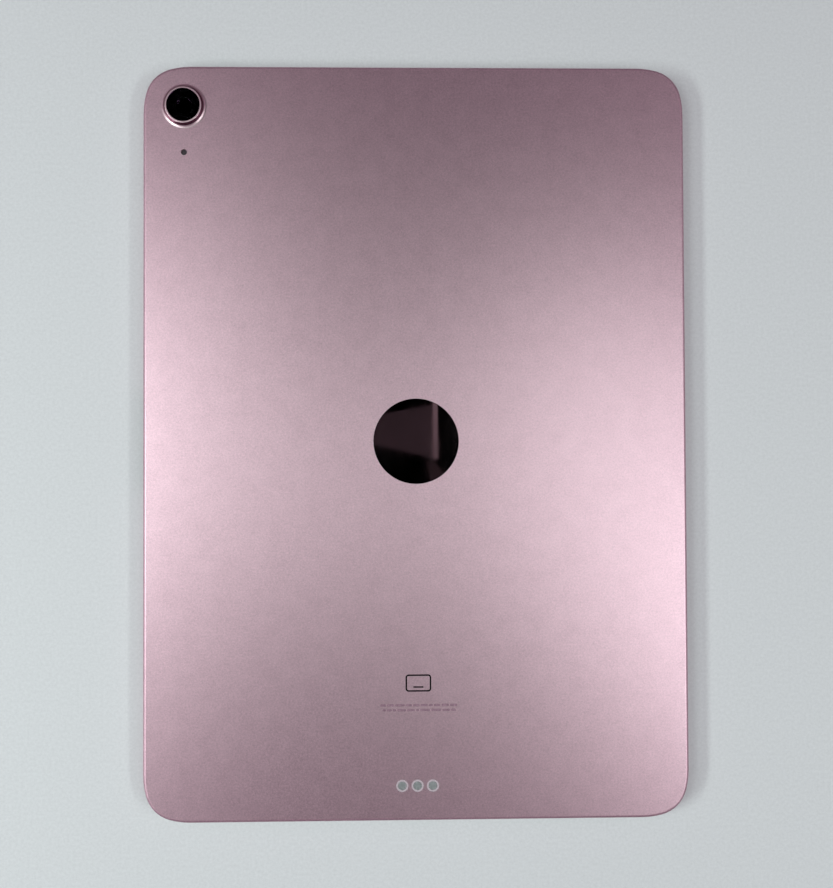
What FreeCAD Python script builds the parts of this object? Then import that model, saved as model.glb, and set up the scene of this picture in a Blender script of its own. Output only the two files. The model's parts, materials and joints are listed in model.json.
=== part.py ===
import FreeCAD, Part
import Sketcher
import math
import os
import re

from FreeCAD import Rotation, Vector

# Tablet computer with an aluminium back, lying on its cover glass with the back up. Millimetres. X is the
# width, Y runs up the tablet from the charging port to the top button, and Z rises out of the back. The
# origin is the centre of the cover glass's outer face.

# Driving dimensions: alias, value, meaning.
SIZES = [
    ("overall_width", 178.5, "outside width"),
    ("overall_height", 247.6, "outside height"),
    ("overall_thick", 6.1, "glass face to back face"),
    ("corner_radius", 11.2, "radius of the middle arc of each corner"),
    ("corner_centre", 11.7, "distance of that arc's centre from both sides"),
    ("easing_radius", 26.0, "radius of the easing arcs beside it"),
    ("back_edge", 1.1, "rounding of the back's edge"),
    ("rim_edge", 0.45, "rounding of the rim beside the glass"),
    ("rim_level", 0.2, "height of the rim above the glass face"),
    ("back_wall", 0.85, "thickness of the back"),
    ("side_wall", 3.6, "thickness of the sides, ledge included"),
    ("ledge_level", 1.05, "height of the ledge that the display is glued to"),
    ("frame_inset", 1.2, "side to outer edge of the plastic display frame"),
    ("glass_inset", 1.55, "side to edge of the cover glass"),
    ("glass_thick", 0.7, "cover glass thickness"),
    ("glass_edge", 0.22, "chamfer round the cover glass"),
    ("glue_inset", 1.7, "side to outer edge of the display adhesive"),
    ("glue_width", 1.75, "width of the display adhesive"),
    ("mask_thick", 0.05, "thickness of the black border print"),
    ("active_width", 157.8, "visible display width"),
    ("active_height", 227.1, "visible display height"),
    ("active_corner", 3.6, "corner radius of the visible display"),
    ("panel_margin", 1.7, "panel beyond the visible display"),
    ("cell_thick", 0.6, "liquid crystal cell thickness"),
    ("light_thick", 0.55, "backlight thickness"),
    ("tray_thick", 0.15, "display tray sheet thickness"),
    ("port_level", 3.15, "height of the holes along the sides' middle"),
    ("camera_across", 75.8, "camera axis from the centre line"),
    ("camera_up", 110.4, "camera axis from the middle"),
    ("ring_radius", 7.4, "camera ring at the back's surface"),
    ("ring_slope", 60, "slope of the ring's side, in degrees"),
    ("hollow_bend", 1.15, "radius of the hollow at the ring's foot"),
    ("rim_bend", 0.25, "rounding of the ring's rim"),
    ("ring_rise", 1.35, "camera ring above the back"),
    ("ring_flange", 8.3, "camera ring's flange inside the back"),
    ("flange_thick", 0.4, "thickness of that flange"),
    ("lens_lip", 0.5, "ledge under the camera's cover glass"),
    ("lens_window", 5.5, "camera cover glass radius"),
    ("lens_glass", 0.5, "camera cover glass thickness"),
    ("barrel_radius", 3.1, "moving lens barrel radius"),
    ("barrel_low", 3.3, "foot of the lens barrel"),
    ("barrel_tall", 3.0, "length of the lens barrel"),
    ("mic_up", 95.2, "rear microphone hole from the middle"),
    ("mic_radius", 1.0, "rear microphone hole radius"),
    ("pad_up", 112.35, "accessory contacts below the middle"),
    ("pad_pitch", 5.0, "accessory contact spacing"),
    ("pad_radius", 1.4, "accessory contact radius"),
    ("pad_ring", 2.0, "radius of the contact's insulating ring"),
    ("emblem_radius", 14.0, "radius of the polished disc"),
    ("emblem_thick", 0.25, "thickness of the polished disc"),
    ("slot_long", 2.4, "speaker slot length"),
    ("slot_high", 1.05, "speaker slot height"),
    ("slot_pitch", 3.3, "speaker slot spacing"),
    ("slot_first", 24.0, "first speaker slot from the centre line"),
    ("port_wide", 9.0, "charging port opening width"),
    ("port_high", 3.2, "charging port opening height"),
    ("port_deep", 6.9, "depth of the charging port"),
    ("port_skin", 0.3, "charging port shell thickness"),
    ("tongue_wide", 6.69, "charging port tongue width"),
    ("tongue_thick", 0.7, "charging port tongue thickness"),
    ("tongue_long", 4.9, "charging port tongue length"),
    ("button_proud", 0.3, "how far each button stands out"),
    ("button_gap", 0.12, "gap round each button"),
    ("button_flange", 0.5, "button flange thickness"),
    ("flange_gap", 0.12, "gap from flange to wall"),
    ("top_across", 64.4, "top button from the centre line"),
    ("top_long", 19.6, "top button length"),
    ("top_high", 2.8, "top button height"),
    ("volume_long", 10.6, "volume button length"),
    ("volume_high", 2.0, "volume button height"),
    ("volume_up_at", 98.0, "volume up button from the middle"),
    ("volume_down_at", 86.2, "volume down button from the middle"),
    ("dome_radius", 1.9, "tactile dome radius"),
    ("dome_tall", 0.5, "tactile dome height"),
    ("charger_long", 34.0, "stylus charging window length"),
    ("charger_high", 2.6, "stylus charging window height"),
    ("charger_deep", 1.0, "stylus charging window depth"),
    ("inner_low", 2.25, "lowest level clear of the display"),
    ("board_level", 3.35, "underside of the logic board"),
    ("board_thick", 0.6, "logic board thickness"),
    ("board_wide", 37.0, "logic board width"),
    ("board_long", 186.0, "logic board length"),
    ("board_middle", -4.0, "logic board centre along Y"),
    ("battery_wide", 59.0, "battery cell width"),
    ("battery_long", 172.0, "battery cell length"),
    ("battery_thick", 2.55, "battery cell thickness"),
    ("battery_across", 50.5, "battery cell centre from the centre line"),
    ("speaker_across", 37.2, "speaker centre from the centre line"),
    ("speaker_up", 113.6, "speaker centre from the middle"),
    ("speaker_wide", 32.0, "speaker box width"),
    ("speaker_long", 12.2, "speaker box depth"),
    ("speaker_tall", 2.7, "speaker box height"),
    ("magnet_wide", 2.5, "cover magnet width"),
    ("magnet_long", 13.0, "cover magnet length"),
    ("magnet_tall", 2.2, "cover magnet height"),
    ("magnet_across", 83.7, "cover magnet row from the centre line"),
    ("fine_gap", 0.05, "gap between fixed pieces that meet"),
    ("ribbon_thick", 0.1, "flat cable thickness"),
    ("plug_long", 2.4, "board plug length"),
    ("plug_tall", 0.9, "board plug height"),
    ("bracket_thick", 0.4, "sheet metal bracket thickness"),
    ("bracket_foot", 1.2, "foot of the buttons' brackets"),
    ("post_radius", 1.25, "screw post radius"),
    ("screw_head", 1.1, "screw head radius"),
    ("screw_head_tall", 0.45, "screw head height"),
    ("screw_shank", 0.55, "screw shank radius"),
    ("screw_bore_deep", 1.1, "threaded depth in a post"),
    ("port_post_foot", 1.65, "foot of the port's screw posts"),
    ("port_screw_across", 6.6, "port screws from the centre line"),
    ("port_screw_up", 118.4, "port screws below the middle"),
    ("port_set_back", 0.2, "port shell behind the side's face"),
    ("pin_pitch", 0.5, "spacing of the port's contacts"),
    ("pin_thick", 0.06, "thickness of the port's contacts"),
    ("top_mic_across", 9.0, "top microphone hole from the centre line"),
    ("top_mic_radius", 0.45, "top microphone hole radius"),
    ("front_eye_radius", 1.5, "front camera window radius"),
    ("front_up", 117.9, "front camera from the middle"),
    ("front_wide", 4.2, "front camera width"),
    ("front_tall", 3.6, "front camera height"),
    ("sensor_across", -7.0, "light sensor from the centre line"),
    ("tray_slot_long", 18.0, "length of the display tray's slots"),
    ("tray_slot_high", 1.6, "width of the display tray's slots"),
    ("tray_slot_up", 96.0, "display tray's slots from the middle"),
    ("display_flex_up", 64.0, "middle of the display ribbon"),
    ("display_flex_long", 16.0, "length of the display ribbon's flat run"),
    ("display_flex_wide", 14.0, "width of the display ribbon"),
    ("battery_level", 2.45, "underside of the battery"),
    ("pouch_corner", 2.0, "corner radius of a battery pouch"),
    ("pouch_edge", 0.7, "edge rounding of a battery pouch"),
    ("glue_strip_wide", 9.0, "battery glue strip width"),
    ("guard_long", 3.0, "battery protection board depth"),
    ("guard_chip_pitch", 6.0, "spacing of its chips"),
    ("guard_lead_long", 10.4, "length of its lead to the logic board"),
    ("guard_lap", 1.0, "how far the lead laps the logic board"),
    ("board_screw_in", 1.9, "board screws from the board's edges"),
    ("board_corner", 1.5, "logic board corner radius"),
    ("can_wide", 29.8, "board lid width"),
    ("can_long", 150.0, "board lid length"),
    ("can_tall", 1.05, "rear board lid height"),
    ("front_can_tall", 1.0, "front board lid height"),
    ("can_skin", 0.15, "board lid sheet thickness"),
    ("can_corner", 1.2, "board lid corner radius"),
    ("chip_up", 44.0, "processor from the middle"),
    ("processor_wide", 15.0, "processor width"),
    ("processor_tall", 0.8, "processor height"),
    ("memory_wide", 14.0, "memory chip width"),
    ("memory_long", 11.0, "memory chip length"),
    ("memory_pitch", 17.0, "memory chip spacing"),
    ("small_chip", 4.2, "small chip width"),
    ("small_pitch", 14.0, "small chip spacing"),
    ("small_tall", 0.7, "height of the chips on the front side"),
    ("speaker_level", 2.35, "underside of a speaker box"),
    ("speaker_corner", 1.2, "speaker box corner radius"),
    ("speaker_ear_level", 0.95, "ear above the speaker box's underside"),
    ("speaker_post_foot", 4.0, "foot of the speakers' screw posts"),
    ("ear_across", 11.0, "ears from the speaker's centre"),
    ("ear_up", 105.4, "ear screws from the middle"),
    ("ear_wide", 3.6, "ear width"),
    ("ear_long", 5.4, "ear length"),
    ("ear_round", 1.6, "ear corner radius"),
    ("ear_thick", 0.6, "ear thickness"),
    ("cone_wide", 21.0, "speaker cone length"),
    ("cone_long", 8.4, "speaker cone width"),
    ("cone_corner", 2.4, "speaker cone corner radius"),
    ("cone_deep", 0.9, "recess that the cone lies in"),
    ("cone_thick", 0.3, "speaker cone thickness"),
    ("mouth_high", 1.2, "speaker mouth height"),
    ("mouth_deep", 1.5, "speaker mouth depth"),
    ("mesh_thick", 0.2, "speaker mesh thickness"),
    ("mesh_high", 2.0, "speaker mesh height"),
    ("window_rim", 0.55, "metal rim round the fingerprint window"),
    ("window_deep", 1.2, "depth of the fingerprint window's seat"),
    ("top_bracket_high", 3.0, "top button bracket height"),
    ("volume_flex_up", 80.6, "volume ribbon from the middle"),
    ("volume_flex_wide", 4.0, "volume ribbon width"),
    ("housing_wide", 9.8, "camera housing width"),
    ("housing_low", 2.75, "underside of the camera housing"),
    ("neck_radius", 4.6, "camera housing neck radius"),
    ("barrel_gap", 0.06, "running gap round the lens barrel"),
    ("lens_thick", 0.5, "thickness of each lens"),
    ("camera_flex_up", 98.0, "camera ribbon from the middle"),
    ("pad_board_wide", 18.0, "accessory contact board width"),
    ("pad_board_long", 7.0, "accessory contact board length"),
    ("magnet_pitch", 15.0, "cover magnet spacing"),
    ("mic_wide", 3.2, "microphone chip width"),
    ("mic_tall", 1.0, "microphone chip height"),
    ("pad_sunk", 0.08, "accessory contacts below the back's surface"),
    ("coil_thick", 0.5, "stylus charging coil thickness"),
    ("core_thick", 0.8, "thickness of the coil's core"),
    ("antenna_across", 69.0, "antenna carriers from the centre line"),
    ("antenna_up", 113.2, "antenna carriers from the middle"),
    ("antenna_wide", 24.0, "antenna carrier width"),
    ("antenna_long", 7.0, "antenna carrier length"),
    ("antenna_tall", 2.4, "antenna carrier height"),
    ("cut_over", 0.01, "how far a cut reaches past the metal"),
    ("seat_gap", 0.02, "gap round pieces let into the casing"),
    ("corner_extra", 0.4, "extra depth of the top button's slot, where the wall curves away"),
    ("tray_slot_pitch", 28.8, "spacing of the display tray's slots"),
    ("glue_strip_long", 154.8, "battery glue strip length"),
    ("guard_wide", 47.2, "battery protection board width"),
    ("guard_lead_wide", 2.1, "width of its lead"),
    ("front_can_long", 90.0, "front board lid length"),
    ("memory_tall", 0.64, "memory chip height"),
    ("small_chip_across", 10.1, "small chips from the centre line"),
    ("small_chip_tall", 0.56, "small chip height"),
    ("front_chip_across", 7.45, "front side's chips from the centre line"),
    ("front_chip_long", 5.9, "front side's chip length"),
    ("board_screw_long", 1.48, "board screw length under its head"),
    ("thermal_wide", 26.8, "heat spreader width"),
    ("thermal_long", 135.0, "heat spreader length"),
    ("mouth_wide", 28.8, "speaker mouth width"),
    ("tongue_corner", 0.28, "rounding of the port's tongue"),
    ("pin_long", 3.67, "length of the port's contacts"),
    ("strap_long", 2.9, "depth of the port's bracket"),
    ("port_flex_wide", 7.2, "port ribbon width"),
    ("port_stub_high", 2.56, "height of the ribbon's joint on the port"),
    ("port_stub_long", 0.8, "depth of that joint"),
    ("button_edge", 0.18, "rounding of a button's face"),
    ("flange_extra_high", 1.2, "button flange, taller than its button by"),
    ("top_flange_extra", 1.6, "top button flange, longer than its button by"),
    ("volume_flange_extra", 0.8, "volume button flange, longer than its button by"),
    ("sensor_long", 13.7, "fingerprint sensor length"),
    ("top_bracket_long", 15.7, "top button bracket length"),
    ("volume_bracket_high", 2.8, "volume bracket height"),
    ("volume_flex_below", 0.7, "volume ribbon below the buttons' axis"),
    ("housing_drop", 0.5, "camera housing below the back's inside"),
    ("neck_drop", 0.55, "camera housing's neck below the cover glass"),
    ("barrel_wall", 0.45, "lens barrel wall thickness"),
    ("sensor_board_thick", 0.48, "image sensor board thickness"),
    ("camera_ribbon_across", 2.94, "camera ribbon from the camera's axis"),
    ("mic_long", 2.24, "microphone chip length"),
    ("front_lens_radius", 1.2, "front camera lens opening radius"),
    ("coil_long", 30.6, "stylus charging coil length"),
    ("coil_high", 2.34, "stylus charging coil height"),
    ("coil_eye_long", 29.04, "length of the coil's opening"),
    ("coil_eye_high", 0.78, "height of the coil's opening"),
    ("core_long", 28.9, "length of the coil's core"),
    ("core_high", 2.08, "height of the coil's core"),
    ("strip_wide", 21.6, "antenna strip length"),
]

# How many of each.
SLOTS = 9
MEMORY_CHIPS = 3
SMALL_CHIPS = 5
PORT_PINS = 12
LENSES = 4
MAGNETS = 13

BOARD_TOP = "(board_middle + board_long / 2)"

doc = FreeCAD.newDocument("Tablet")
sizes = doc.addObject("Spreadsheet::Sheet", "sizes")
for row, (alias, value, meaning) in enumerate(SIZES, 1):
    sizes.set(f"A{row}", alias)
    sizes.set(f"B{row}", str(value))
    sizes.setAlias(f"B{row}", alias)
    sizes.set(f"C{row}", meaning)
doc.recompute()

ALIASES = {alias for alias, value, meaning in SIZES}
nodes = []
screws_inside = []
meshes = []


def sheet_names(text):
    """The formula with each alias written as the sheet's own cell."""
    return re.sub(r"[a-z_]+", lambda m: "sizes." + m[0] if m[0] in ALIASES else m[0], str(text))


def size(text):
    """The number that a formula of aliases gives now."""
    return float(sizes.evalExpression(sheet_names(text)))


def bind(thing, prop, text):
    thing.setExpression(prop, sheet_names(text))


def node(thing, label):
    """Marks an object of the document as a finished sub-part of this name."""
    thing.Label = label
    nodes.append(thing)
    return thing


# ---------------------------------------------------------------- sketches and features

def new_body(name):
    return doc.addObject("PartDesign::Body", name)


def new_sketch(body, name, role="XY_Plane", level="0"):
    """A sketch on one of the body's origin planes, moved along that plane's normal by level."""
    sketch = body.newObject("Sketcher::SketchObject", name)
    plane = next(f for f in body.Origin.OriginFeatures if f.Role == role)
    sketch.AttachmentSupport = [(plane, "")]
    sketch.MapMode = "FlatFace"
    bind(sketch, "AttachmentOffset.Base.z", level)
    return sketch


def dimension(sketch, name, text, kind, *where):
    """A named dimension whose value follows the sheet."""
    index = sketch.addConstraint(Sketcher.Constraint(kind, *where, size(text)))
    sketch.renameConstraint(index, name)
    bind(sketch, "Constraints." + name, text)


def place_centre(sketch, tag, arc, across, up):
    dimension(sketch, tag + "_across", across, "DistanceX", -1, 1, arc, 3)
    dimension(sketch, tag + "_up", up, "DistanceY", -1, 1, arc, 3)


def arc_of(centre, radius, start, end):
    circle = Part.Circle(Vector(*centre, 0), Vector(0, 0, 1), radius)
    return Part.ArcOfCircle(circle, math.radians(start), math.radians(end))


def point_on(centre, radius, angle):
    turn = math.radians(angle)
    return Vector(centre[0] + radius * math.cos(turn), centre[1] + radius * math.sin(turn), 0)


def join_loop(sketch, first, count):
    """Each piece of a loop meets the next one tangentially."""
    for k in range(count):
        here, after = first + k, first + (k + 1) % count
        sketch.addConstraint(Sketcher.Constraint("Tangent", here, 2, after, 1))


def circle_loop(sketch, tag, radius, across="0", up="0"):
    centre = Vector(size(across), size(up), 0)
    ring = sketch.addGeometry(Part.Circle(centre, Vector(0, 0, 1), size(radius)))
    dimension(sketch, tag + "_radius", radius, "Radius", ring)
    place_centre(sketch, tag, ring, across, up)


def slot_loop(sketch, tag, long, high, across="0", up="0"):
    """A slot with round ends, long along the sketch's X."""
    x, y, half = size(across), size(up), size(long) / 2
    r = size(high) / 2
    right, left = (x + half - r, y), (x - half + r, y)
    first = sketch.GeometryCount
    sketch.addGeometry([
        arc_of(right, r, -90, 90),
        Part.LineSegment(point_on(right, r, 90), point_on(left, r, 90)),
        arc_of(left, r, 90, 270),
        Part.LineSegment(point_on(left, r, 270), point_on(right, r, -90)),
    ])
    join_loop(sketch, first, 4)
    sketch.addConstraint(Sketcher.Constraint("Horizontal", first + 1))
    sketch.addConstraint(Sketcher.Constraint("Equal", first, first + 2))
    dimension(sketch, tag + "_round", f"({high}) / 2", "Radius", first)
    place_centre(sketch, tag, first, f"{across} + ({long} - ({high})) / 2", up)
    dimension(sketch, tag + "_left", f"{across} - ({long} - ({high})) / 2", "DistanceX", -1, 1, first + 2, 3)


def rounded_loop(sketch, tag, wide, high, corner, across="0", up="0"):
    """A rectangle with round corners."""
    x, y, r = size(across), size(up), size(corner)
    dx, dy = size(wide) / 2 - r, size(high) / 2 - r
    centres = [(x + dx, y + dy), (x - dx, y + dy), (x - dx, y - dy), (x + dx, y - dy)]
    first = sketch.GeometryCount
    for k, centre in enumerate(centres):
        after = centres[(k + 1) % 4]
        turn = 90 * (k + 1)
        sketch.addGeometry(arc_of(centre, r, turn - 90, turn))
        sketch.addGeometry(Part.LineSegment(point_on(centre, r, turn), point_on(after, r, turn)))
    join_loop(sketch, first, 8)
    for k in range(4):
        way = "Horizontal" if k % 2 == 0 else "Vertical"
        sketch.addConstraint(Sketcher.Constraint(way, first + 2 * k + 1))
    for k in range(1, 4):
        sketch.addConstraint(Sketcher.Constraint("Equal", first, first + 2 * k))
    dimension(sketch, tag + "_corner", corner, "Radius", first)
    place_centre(sketch, tag + "_far", first, f"{across} + ({wide}) / 2 - {corner}",
                 f"{up} + ({high}) / 2 - {corner}")
    dimension(sketch, tag + "_near_across", f"{across} - ({wide}) / 2 + {corner}",
              "DistanceX", -1, 1, first + 4, 3)
    dimension(sketch, tag + "_near_up", f"{up} - ({high}) / 2 + {corner}", "DistanceY", -1, 1, first + 4, 3)


def outline_loop(sketch, tag, inset):
    """The tablet's outline, moved inwards by inset. Each corner is a tight arc between two easing arcs."""
    half_wide, half_high = size("overall_width / 2"), size("overall_height / 2")
    tight, easing = size(f"corner_radius - ({inset})"), size(f"easing_radius - ({inset})")
    centre_in, reach = size("corner_centre"), size("easing_radius - corner_radius")
    ease = math.degrees(math.acos(size("(easing_radius - corner_centre) / (easing_radius - corner_radius)")))
    shift = reach * math.sin(math.radians(ease))
    drop = reach * math.cos(math.radians(ease))
    first, loop = sketch.GeometryCount, []
    for sx, sy, turn in ((1, 1, 0), (-1, 1, 90), (-1, -1, 180), (1, -1, 270)):
        middle = (sx * (half_wide - centre_in), sy * (half_high - centre_in))
        sideways = (middle[0] - sx * drop, middle[1] - sy * shift)
        upwards = (middle[0] - sx * shift, middle[1] - sy * drop)
        before, after = (sideways, upwards) if turn in (0, 180) else (upwards, sideways)
        loop += [(before, easing, turn, turn + ease), (middle, tight, turn + ease, turn + 90 - ease),
                 (after, easing, turn + 90 - ease, turn + 90)]
    for k, (centre, radius, start, end) in enumerate(loop):
        sketch.addGeometry(arc_of(centre, radius, start, end))
        if k % 3 == 2:
            onward = loop[(k + 1) % 12]
            sketch.addGeometry(Part.LineSegment(point_on(centre, radius, end),
                                                point_on(onward[0], easing, end)))
    join_loop(sketch, first, 16)
    for corner in range(4):
        base = first + 4 * corner
        way = "Horizontal" if corner % 2 == 0 else "Vertical"
        sketch.addConstraint(Sketcher.Constraint(way, base + 3))
        sketch.addConstraint(Sketcher.Constraint("Equal", base, base + 2))
        if corner:
            sketch.addConstraint(Sketcher.Constraint("Equal", first, base))
            sketch.addConstraint(Sketcher.Constraint("Equal", first + 1, base + 1))
    dimension(sketch, tag + "_easing", f"easing_radius - ({inset})", "Radius", first)
    dimension(sketch, tag + "_tight", f"corner_radius - ({inset})", "Radius", first + 1)
    for corner, (sx, sy) in enumerate((("", ""), ("-", ""), ("-", "-"), ("", "-"))):
        place_centre(sketch, f"{tag}_c{corner}", first + 4 * corner + 1,
                     f"{sx}(overall_width / 2 - corner_centre)", f"{sy}(overall_height / 2 - corner_centre)")
    lines = ((3, "DistanceY", "overall_height / 2"), (7, "DistanceX", "-overall_width / 2"),
             (11, "DistanceY", "-overall_height / 2"), (15, "DistanceX", "overall_width / 2"))
    for line, way, where in lines:
        sign = "+" if where.startswith("-") else "-"
        dimension(sketch, f"{tag}_side{line}", f"{where} {sign} ({inset})", way, -1, 1, first + line, 1)


def pad(body, sketch, tall, name="pad", back=False):
    """A solid along the sketch's normal, or against it if back."""
    feature = body.newObject("PartDesign::Pad", name)
    feature.Profile = sketch
    feature.Reversed = back
    bind(feature, "Length", tall)
    doc.recompute()
    return feature


def pocket(body, sketch, deep, name="pocket", up=False, both=False):
    """Cuts along the sketch's normal if up, against it if not, or both ways. It must take material away."""
    before = body.Shape.Volume
    feature = body.newObject("PartDesign::Pocket", name)
    feature.Profile = sketch
    feature.Reversed = up
    if both:
        feature.SideType = "Symmetric"
    bind(feature, "Length", deep)
    doc.recompute()
    if body.Shape.Volume > before - 1e-6:
        raise RuntimeError(f"{body.Name}: {name} cuts nothing")
    return feature


def edges_at(feature, level, tolerance=1e-4):
    """Names of the feature's edges that lie at one height."""
    found = []
    for k, edge in enumerate(feature.Shape.Edges, 1):
        box = edge.BoundBox
        if abs(box.ZMin - level) < tolerance and abs(box.ZMax - level) < tolerance:
            found.append(f"Edge{k}")
    return found


def round_edges(body, feature, names, radius, kind="Fillet"):
    rounded = body.newObject("PartDesign::" + kind, kind.lower())
    rounded.Base = (feature, names)
    bind(rounded, "Radius" if kind == "Fillet" else "Size", radius)
    doc.recompute()
    return rounded


def plate(label, loops, low, tall):
    """A flat piece: the first loop is its outline, and the others are holes in it."""
    body = new_body(label)
    sketch = new_sketch(body, label + "_sketch", level=low)
    for k, (loop, *facts) in enumerate(loops):
        loop(sketch, f"loop{k}", *facts)
    pad(body, sketch, tall)
    return node(body, label)


# ---------------------------------------------------------------- primitives

def box(name, across, up, low, wide, long, tall):
    """A box centred on (across, up) whose foot is at low."""
    made = doc.addObject("Part::Box", name)
    for prop, text in (("Length", wide), ("Width", long), ("Height", tall),
                       ("Placement.Base.x", f"{across} - ({wide}) / 2"),
                       ("Placement.Base.y", f"{up} - ({long}) / 2"), ("Placement.Base.z", low)):
        bind(made, prop, text)
    return made


def cylinder(name, across, up, low, radius, tall, way=(0, 0, 1)):
    """A cylinder that starts at (across, up, low) and runs along way."""
    made = doc.addObject("Part::Cylinder", name)
    made.Placement.Rotation = Rotation(Vector(0, 0, 1), Vector(*way))
    for prop, text in (("Radius", radius), ("Height", tall), ("Placement.Base.x", across),
                       ("Placement.Base.y", up), ("Placement.Base.z", low)):
        bind(made, prop, text)
    return made


def fuse(name, pieces):
    made = doc.addObject("Part::MultiFuse", name)
    made.Shapes = pieces
    made.Refine = True
    return made


def cut(name, base, tool):
    made = doc.addObject("Part::Cut", name)
    made.Base = base
    made.Tool = tool
    return made


def group(label, pieces):
    """Separate solids that share one node."""
    made = doc.addObject("Part::Compound", label)
    made.Links = pieces
    return node(made, label)


def soften(name, base, radius):
    """Rounds a box's upright edges."""
    doc.recompute()
    made = doc.addObject("Part::Fillet", name)
    made.Base = base
    r = size(radius)
    picked = []
    for k, edge in enumerate(base.Shape.Edges, 1):
        bounds = edge.BoundBox
        if bounds.ZLength > max(bounds.XLength, bounds.YLength):
            picked.append((k, r, r))
    made.Edges = picked
    return made


# ---------------------------------------------------------------- casing and display

def rear_enclosure():
    """The tray milled from one aluminium block: back, sides, ledge for the display, and every opening."""
    body = new_body("enclosure")
    sketch = new_sketch(body, "outer_outline", level="rim_level")
    outline_loop(sketch, "outer", "0")
    block = pad(body, sketch, "overall_thick - rim_level", "block")
    rounded = round_edges(body, block, edges_at(block, size("overall_thick")), "back_edge")
    round_edges(body, rounded, edges_at(rounded, size("rim_level")), "rim_edge")

    recess = new_sketch(body, "display_recess", level="rim_level - cut_over")
    outline_loop(recess, "recess", "frame_inset")
    pocket(body, recess, "ledge_level - rim_level + cut_over", "recess", up=True)
    cavity = new_sketch(body, "cavity_outline", level="rim_level")
    outline_loop(cavity, "cavity", "side_wall")
    pocket(body, cavity, "overall_thick - back_wall - rim_level", "cavity", up=True)

    holes = new_sketch(body, "back_holes", level="overall_thick")
    circle_loop(holes, "camera", "ring_radius + seat_gap", "-camera_across", "camera_up")
    circle_loop(holes, "mic", "mic_radius", "-camera_across", "mic_up")
    for k in (-1, 0, 1):
        circle_loop(holes, f"contact{k + 1}", "pad_ring + seat_gap", f"{k} * pad_pitch", "-pad_up")
    pocket(body, holes, "back_wall + cut_over", "back_holes_cut")
    disc = new_sketch(body, "emblem_recess", level="overall_thick")
    circle_loop(disc, "emblem", "emblem_radius + seat_gap")
    pocket(body, disc, "emblem_thick", "emblem_cut")

    speaker_slots(body)
    side_openings(body)
    inner_posts(body)
    return node(body, "rear_enclosure")


def speaker_slots(body):
    """A slot through both ends of the tray, repeated along X on each side of the middle."""
    for side in (-1, 1):
        name = "left" if side < 0 else "right"
        sketch = new_sketch(body, "speaker_slot_" + name, "XZ_Plane")
        slot_loop(sketch, "slot", "slot_long", "slot_high", f"{side} * (slot_first + slot_long / 2)",
                  "port_level")
        through = pocket(body, sketch, "overall_height + 2 * cut_over", "slot_cut_" + name, both=True)
        row = body.newObject("PartDesign::LinearPattern", "slot_row_" + name)
        row.Originals = [through]
        row.Direction = (sketch, ["H_Axis"])
        row.Reversed = side < 0
        row.Mode = "Spacing"
        bind(row, "Offset", "slot_pitch")
        row.Occurrences = SLOTS
        body.Tip = row
        doc.recompute()


def side_openings(body):
    """The charging port, the buttons' slots, the top microphone's hole and the charging window's recess."""
    port = new_sketch(body, "port_opening", "XZ_Plane", "overall_height / 2")
    slot_loop(port, "port", "port_wide + 2 * seat_gap", "port_high + 2 * seat_gap", "0", "port_level")
    pocket(body, port, "side_wall + cut_over", "port_cut")
    top = new_sketch(body, "top_button_slot", "XZ_Plane", "-overall_height / 2")
    slot_loop(top, "top", "top_long + 2 * button_gap", "top_high + 2 * button_gap", "-top_across",
              "port_level")
    circle_loop(top, "mic", "top_mic_radius", "top_mic_across", "port_level")
    pocket(body, top, "side_wall + corner_extra", "top_cut", up=True)
    side = new_sketch(body, "volume_slots", "YZ_Plane", "-overall_width / 2")
    for name in ("volume_up_at", "volume_down_at"):
        slot_loop(side, name, "volume_long + 2 * button_gap", "volume_high + 2 * button_gap", name,
                  "port_level")
    pocket(body, side, "side_wall + cut_over", "volume_cut", up=True)
    window = new_sketch(body, "charger_recess", "YZ_Plane", "-overall_width / 2")
    slot_loop(window, "window", "charger_long + seat_gap", "charger_high + seat_gap", "0", "port_level")
    pocket(body, window, "side_wall + cut_over", "window_cut", up=True)


def inner_posts(body):
    """Screw posts that stand on the inside of the back."""
    tall = new_sketch(body, "port_posts", level="port_post_foot")
    for side in (-1, 1):
        circle_loop(tall, f"post{side + 1}", "post_radius", f"{side} * port_screw_across", "-port_screw_up")
    pad(body, tall, "overall_thick - back_wall / 2 - port_post_foot", "port_posts_pad")
    short = new_sketch(body, "speaker_posts", level="speaker_post_foot")
    for k, (sx, sy, dx) in enumerate(speaker_screw_places()):
        circle_loop(short, f"post{k}", "post_radius", f"{sx} * speaker_across + {dx} * ear_across",
                    f"{sy} * ear_up")
    pad(body, short, "overall_thick - back_wall / 2 - speaker_post_foot", "speaker_posts_pad")


def speaker_screw_places():
    """Side and end of each speaker, and side of the ear on it."""
    return [(sx, sy, dx) for sx in (-1, 1) for sy in (-1, 1) for dx in (-1, 1)]


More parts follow.
